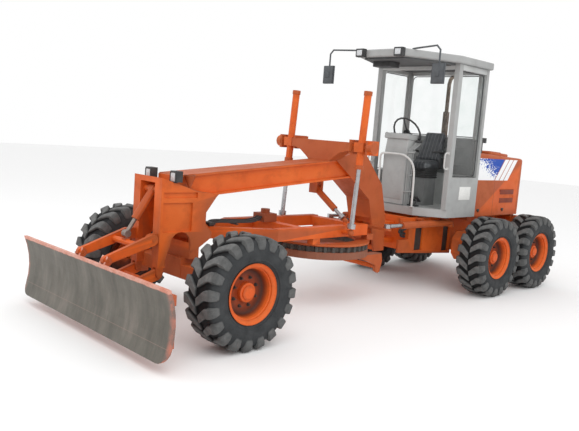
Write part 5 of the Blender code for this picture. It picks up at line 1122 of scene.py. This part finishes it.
roofLining(shadeHeadliner)
heater = {
    "finish": blackTrim, "slot": "black_plastic",
    # A box and its outlet slats
    "blocks": (
        ((-3.5, -0.33, 3.052), (-3.3, -0.02, 3.149), 0.008),
        *(
            ((-3.302, -0.3, z), (-3.294, -0.05, z + 0.006), 0.0015)
            for z in (3.066, 3.082, 3.098, 3.114, 3.13)
        ),
    ),
}
build("roofHeaterBox", heater)
sidePlate = {
    "finish": plateWhite, "slot": "grey_paint",
    "blocks": (((-4.478, 0.689, 1.308), (-4.19, 0.6935, 1.492), 0.0015),),
    # Rivets
    "turnings": ((
        ((0.0, -0.001), (0.006, 0.0), (0.004, 0.002), (0.0, 0.003)), 10,
        [(x, 0.693, z) for x in (-4.466, -4.202) for z in (1.32, 1.48)], turned(-90, "X"),
    ),),
}
build("blankSidePlate", sidePlate)
dashSlope = turned(-6, "Y")
dashHood = {
    "finish": greyCab, "slot": "grey_paint",
    "blocks": (
        ((-3.875, -0.29, 2.085), (-3.652, 0.135, 2.163), 0.014, dashSlope),
        ((-3.70, -0.27, 1.25), (-3.652, 0.11, 1.9), 0.01),
    ),
}
build("dashHood", dashHood)
dashDials = {
    "finish": blackTrim, "slot": "black_plastic",
    # Three dials on the slope, and a row of switches
    "turnings": (
        (
            (
                (0.0, 0.003), (0.034, 0.003), (0.036, 0.009),
                (0.041, 0.009), (0.043, -0.002), (0.0, -0.003),
            ), 24,
            [(-3.77, y, 2.163) for y in (-0.22, -0.08, 0.06)], dashSlope,
        ),
        (
            ((0.0, 0.016), (0.008, 0.014), (0.01, 0.0), (0.0, -0.002)), 12,
            ((-3.68, -0.27, 2.165), (-3.69, -0.15, 2.165), (-3.69, 0.0, 2.165), (-3.68, 0.1, 2.165)),
        ),
    ),
}
build("dashDials", dashDials)
print("cab fitted")


# Lamps, mirrors, funnel, vents, straps and hoses
lampFace = {
    # Node, body, inset of the lens from the edge of the housing
    "rows": (
        ("headlamp_left", "main_frame", 0.017), ("headlamp_right", "main_frame", 0.017),
        ("work_lamp_left", "rear_frame", 0.018), ("work_lamp_right", "rear_frame", 0.018),
    ),
    # Distances out from the housing's face
    "lens": (-0.002, 0.005), "lensEdge": 0.003, "bars": 7, "bar": (0.003, 0.0075), "barEdge": 0.0015,
    "barHalfShare": 0.05, "barInsetShare": 1.6, "rimInsetShare": 0.6, "rimOut": 0.003, "rimCorner": 0.01,
    "rimSteps": 3, "rimRadius": 0.0085, "rimSides": 10,
}


def lampFaces(part):
    # Each lens has upright ribs and a rounded rim
    for node, body, inset in part["rows"]:
        low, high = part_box(node)
        back, front = (high.x + out for out in part["lens"])
        work = bmesh.new()
        corners = (back, low.y + inset, low.z + inset), (front, high.y - inset, high.z - inset)
        slab(work, *corners, part["lensEdge"])
        wide = high.y - low.y - 2 * inset
        back, front = (high.x + out for out in part["bar"])
        half, short = wide * part["barHalfShare"], inset * part["barInsetShare"]
        for i in range(part["bars"]):
            y = low.y + inset + wide * (i + 0.5) / part["bars"]
            slab(work, (back, y - half, low.z + short), (front, y + half, high.z - short), part["barEdge"])
        addPiece(f"{node}_lens", work, body, lampGlass)
        work = bmesh.new()
        edge = inset * part["rimInsetShare"]
        corners = (low.y + edge, low.z + edge), (high.y - edge, high.z - edge)
        loop = roundedLoop(*corners, part["rimCorner"], part["rimSteps"])
        ring = [Vector((high.x + part["rimOut"], y, z)) for y, z in loop]
        ringTube(work, ring, part["rimRadius"], part["rimSides"])
        addPiece(f"{node}_bezel", work, body, blackTrim, loose)


lampFaces(lampFace)
# On the roof's rear corners and on the bumper
tailHousings = {"finish": blackTrim, "slot": "lamp_body", "paired": {"blocks": (
    ((-4.735, 0.6, 3.17), (-4.698, 0.68, 3.238), 0.006),
    ((-6.192, 0.45, 0.79), (-6.178, 0.58, 0.94), 0.005),
)}}
build("tailLampHousings", tailHousings)
tailLenses = {"finish": redLens, "slot": "lamp_body", "paired": {"blocks": (
    ((-4.742, 0.608, 3.178), (-4.733, 0.672, 3.23), 0.003),
    ((-6.199, 0.46, 0.8), (-6.19, 0.57, 0.93), 0.003),
)}}
build("tailLampLenses", tailLenses)
funnel = {
    "body": "main_frame", "finish": rustyOrange, "slot": "orange_paint", "sharp": 50.0,
    # Small open cone that stands on the shelf behind the lamp
    "turnings": (((
        (0.0, 1.405), (0.012, 1.405), (0.013, 1.432), (0.055, 1.55), (0.058, 1.556), (0.056, 1.562),
        (0.051, 1.553), (0.01, 1.44), (0.0, 1.437),
    ), 28, ((0.062, 0.212, 0.0),)),),
}
build("towerFunnel", funnel)
vents = {
    "x": (-5.93, -5.502), "rows": ((1.366, 1.44), (1.236, 1.31)),
    "panelY": (0.596, 0.6015), "panelEdge": 0.001,
    "slats": 4, "slatInset": 0.008, "slatY": (0.601, 0.605), "slatHalfShare": 0.32,
    "slatEdge": 0.0015, "slatTilt": 28.0,
}


def hoodVents(part):
    work = bmesh.new()
    rear, front = part["x"]
    inset = part["slatInset"]
    for side in bothSides:
        tilt = turned(side * part["slatTilt"], "X")
        for low, high in part["rows"]:
            inner, outer = part["panelY"]
            slab(work, along(rear, inner, low, side), along(front, outer, high, side), part["panelEdge"])
            inner, outer = part["slatY"]
            step = (high - low) / part["slats"]
            half = step * part["slatHalfShare"]
            for i in range(part["slats"]):
                z = low + step * (i + 0.5)
                corner = along(rear + inset, inner, z - half, side)
                slab(work, corner, along(front - inset, outer, z + half, side), part["slatEdge"], tilt)
    # The dark red panel and slats paint the shade of the vent recess
    shade = plainFinish("ventShade", (0.2, 0.032, 0.012), (0.28, 0.05, 0.02), 0.6, scale=14.0)
    addPiece("hoodVents", work, "rear_frame", shade)


hoodVents(vents)
latches = {"finish": darkIron, "slot": "dark_metal", "paired": {"blocks": (
    ((-4.935, 0.598, 1.12), (-4.865, 0.607, 1.155), 0.003),
    ((-4.91, 0.604, 1.105), (-4.89, 0.611, 1.15), 0.002),
    ((-5.655, 0.598, 1.12), (-5.585, 0.607, 1.155), 0.003),
    ((-5.63, 0.604, 1.105), (-5.61, 0.611, 1.15), 0.002),
)}}
build("hoodLatches", latches)
hoodSlope = turned(-2.2, "Y")
hoodTop = {
    "finish": orangeBody, "slot": "orange_paint",
    # Raised cover that slopes with the hood, and a filler cap
    "blocks": (
        ((-5.78, 0.16, 1.938), (-5.22, 0.52, 1.998), 0.022, hoodSlope, 3),
        ((-5.66, 0.22, 1.99), (-5.34, 0.46, 2.012), 0.009, hoodSlope, 3),
    ),
    "turnings": ((
        ((0.0, 1.94), (0.05, 1.94), (0.05, 1.976), (0.044, 1.986), (0.0, 1.987)), 24, ((-5.62, -0.3, 0.0),),
    ),),
}
build("hoodTopCover", hoodTop)
straps = {
    "finish": orangeBody, "slot": "orange_paint",
    # Plates on the frame's sides, the feet above them, and the bolts
    "paired": {
        "blocks": (
            ((-3.733, 0.359, 0.94), (-3.683, 0.372, 1.045), 0.004),
            ((-3.763, 0.36, 1.0), (-3.683, 0.45, 1.029), 0.006),
            ((-4.338, 0.359, 0.94), (-4.288, 0.372, 1.045), 0.004),
            ((-4.388, 0.36, 1.0), (-4.288, 0.45, 1.029), 0.006),
        ),
        "turnings": ((
            ((0.0, 0.0), (0.013, 0.0), (0.013, 0.009), (0.0, 0.01)), 6,
            ((-3.705, 0.372, 0.965), (-4.31, 0.372, 0.965)), turned(-90, "X"),
        ),),
    },
}
build("cabMountStraps", straps)
hoses = {
    "across": (0.045, 0.015, -0.015, -0.045), "radius": 0.011, "lift": 0.006,
    # Along the machine, share of the distance across, shift across, height, share of the lift
    "path": (
        (-0.38, 1.0, 0.0, 1.022, 0.0), (-0.46, 1.2, 0.0, 1.04, 1.0), (-0.7, 1.6, -0.01, 1.03, 1.0),
        (-0.98, 1.3, -0.05, 1.018, 1.0), (-1.16, 1.0, -0.11, 1.03, 1.0), (-1.238, 0.9, -0.155, 1.05, 0.0),
    ),
}


def drawbarHoses(part):
    # Fixed lines on the drawbar, from the block at its front to the circle drive
    work = bmesh.new()
    for i, y in enumerate(part["across"]):
        lift = part["lift"] * (i % 2)
        tube(work, curvedPath([
            along(x, y * share + shift, z + lift * liftShare)
            for x, share, shift, z, liftShare in part["path"]
        ]), part["radius"])
    addPiece("drawbarHoses", work, "drawbar", hoseRubber, loose)


drawbarHoses(hoses)
hoseBlock = {
    "body": "drawbar", "finish": darkIron, "slot": "dark_metal",
    "blocks": (
        ((-0.4, -0.062, 0.998), (-0.335, 0.062, 1.04), 0.006),
        ((-0.74, -0.09, 0.998), (-0.71, 0.065, 1.012), 0.003),
    ),
    "turnings": ((
        ((0.0, -0.004), (0.0155, -0.004), (0.0155, 0.018), (0.013, 0.024), (0.0, 0.025)), 6,
        [(-0.4, y, 1.022) for y in hoses["across"]], turned(-90, "Y"),
    ),),
}
build("drawbarBlock", hoseBlock)
loops = {
    "radius": 0.017, "ribShare": 0.1, "steps": 14, "sides": 12, "rows": ((0.9, -3.44), (0.86, -3.47)),
    # Whether it is set from the reach, place along, across, drop
    "path": (
        (False, -3.6, 0.295, 0.0), (False, -3.53, 0.3, 0.004), (True, 0.0, 0.305, -0.03),
        (True, 0.01, 0.3, -0.075), (False, -3.53, 0.29, -0.1), (False, -3.6, 0.28, -0.1),
    ),
}


def noseHoses(part):
    # Ribbed hose loops that hang in the open notch of the rear frame's nose
    work = bmesh.new()
    for side in bothSides:
        for z, reach in part["rows"]:
            path = curvedPath([
                along(reach + x if reached else x, y, z + drop, side)
                for reached, x, y, drop in part["path"]
            ], part["steps"])
            ribs = [1.0 + part["ribShare"] * (1 - 2 * (k % 2)) for k in range(len(path))]
            tube(work, path, [part["radius"] * rib for rib in ribs], part["sides"])
    addPiece("noseHoses", work, "rear_frame", hoseRubber, loose)


noseHoses(loops)
# Dark sheets just inside the frame's side plates, behind their openings, which paint the shade inside the
# frame
shadeBackings = {"finish": darkIron, "slot": "dark_metal", "paired": {"blocks": (
    ((-3.927, 0.329, 0.535), (-3.685, 0.323, 0.915), 0.002),
    ((-4.604, 0.329, 0.485), (-4.378, 0.323, 0.915), 0.002),
)}}
build("frameShadeBackings", shadeBackings)
# Silvered glass on the side that faces the cab, and a moulded back on the other
mirrorGlass = {
    "finish": mirrorSilver, "slot": "mirror_housing",
    "blocks": (((-3.078, 0.836, 2.807), (-3.072, 0.994, 3.033), 0.0025),),
}
mirrorBack = {
    "finish": housing, "slot": "mirror_housing",
    "blocks": (
        ((-3.047, 0.827, 2.797), (-3.033, 1.003, 3.043), 0.01, None, 3),
        ((-3.039, 0.885, 2.88), (-3.025, 0.945, 2.96), 0.006),
    ),
}

for mirrorSide, sign in zip(("left", "right"), bothSides):
    build(f"mirrorGlass_{mirrorSide}", mirrorGlass, sign)
    build(f"mirrorBack_{mirrorSide}", mirrorBack, sign)
print("lamps, vents and hoses fitted")


# Floor and soft studio light
studio = {
    "floorHalf": 40.0, "floorColour": (0.9, 0.9, 0.9), "floorRough": 0.9, "skyStrength": 1.0,
    "target": (0.0, 0.0, 1.0),
    # Name, place, size, power
    "lights": (("keyLight", (5.0, 8.0, 11.0), 12.0, 650.0), ("fillLight", (9.0, -6.0, 6.0), 9.0, 150.0)),
}


def layFloor(settings):
    work = bmesh.new()
    bmesh.ops.create_grid(work, x_segments=1, y_segments=1, size=settings["floorHalf"])
    mesh = bpy.data.meshes.new("floor")
    work.to_mesh(mesh)
    work.free()
    floor = bpy.data.objects.new("floor", mesh)
    bpy.context.scene.collection.objects.link(floor)
    colour = settings["floorColour"]
    mesh.materials.append(plainFinish("paleFloor", colour, colour, settings["floorRough"]))


def hangLight(name, spot, size, power, target):
    data = bpy.data.lights.new(name, "AREA")
    data.energy = power
    data.size = size
    item = bpy.data.objects.new(name, data)
    item.location = spot
    item.rotation_euler = (Vector(target) - Vector(spot)).to_track_quat("-Z", "Y").to_euler()
    bpy.context.scene.collection.objects.link(item)


layFloor(studio)
world = bpy.data.worlds.new("softSky")
bpy.context.scene.world = world
world.use_nodes = True
world.node_tree.nodes["Background"].inputs["Color"].default_value = (1.0, 1.0, 1.0, 1.0)
world.node_tree.nodes["Background"].inputs["Strength"].default_value = studio["skyStrength"]
for light in studio["lights"]:
    hangLight(*light, studio["target"])
bpy.context.scene.view_settings.view_transform = "Standard"
print("studio set")
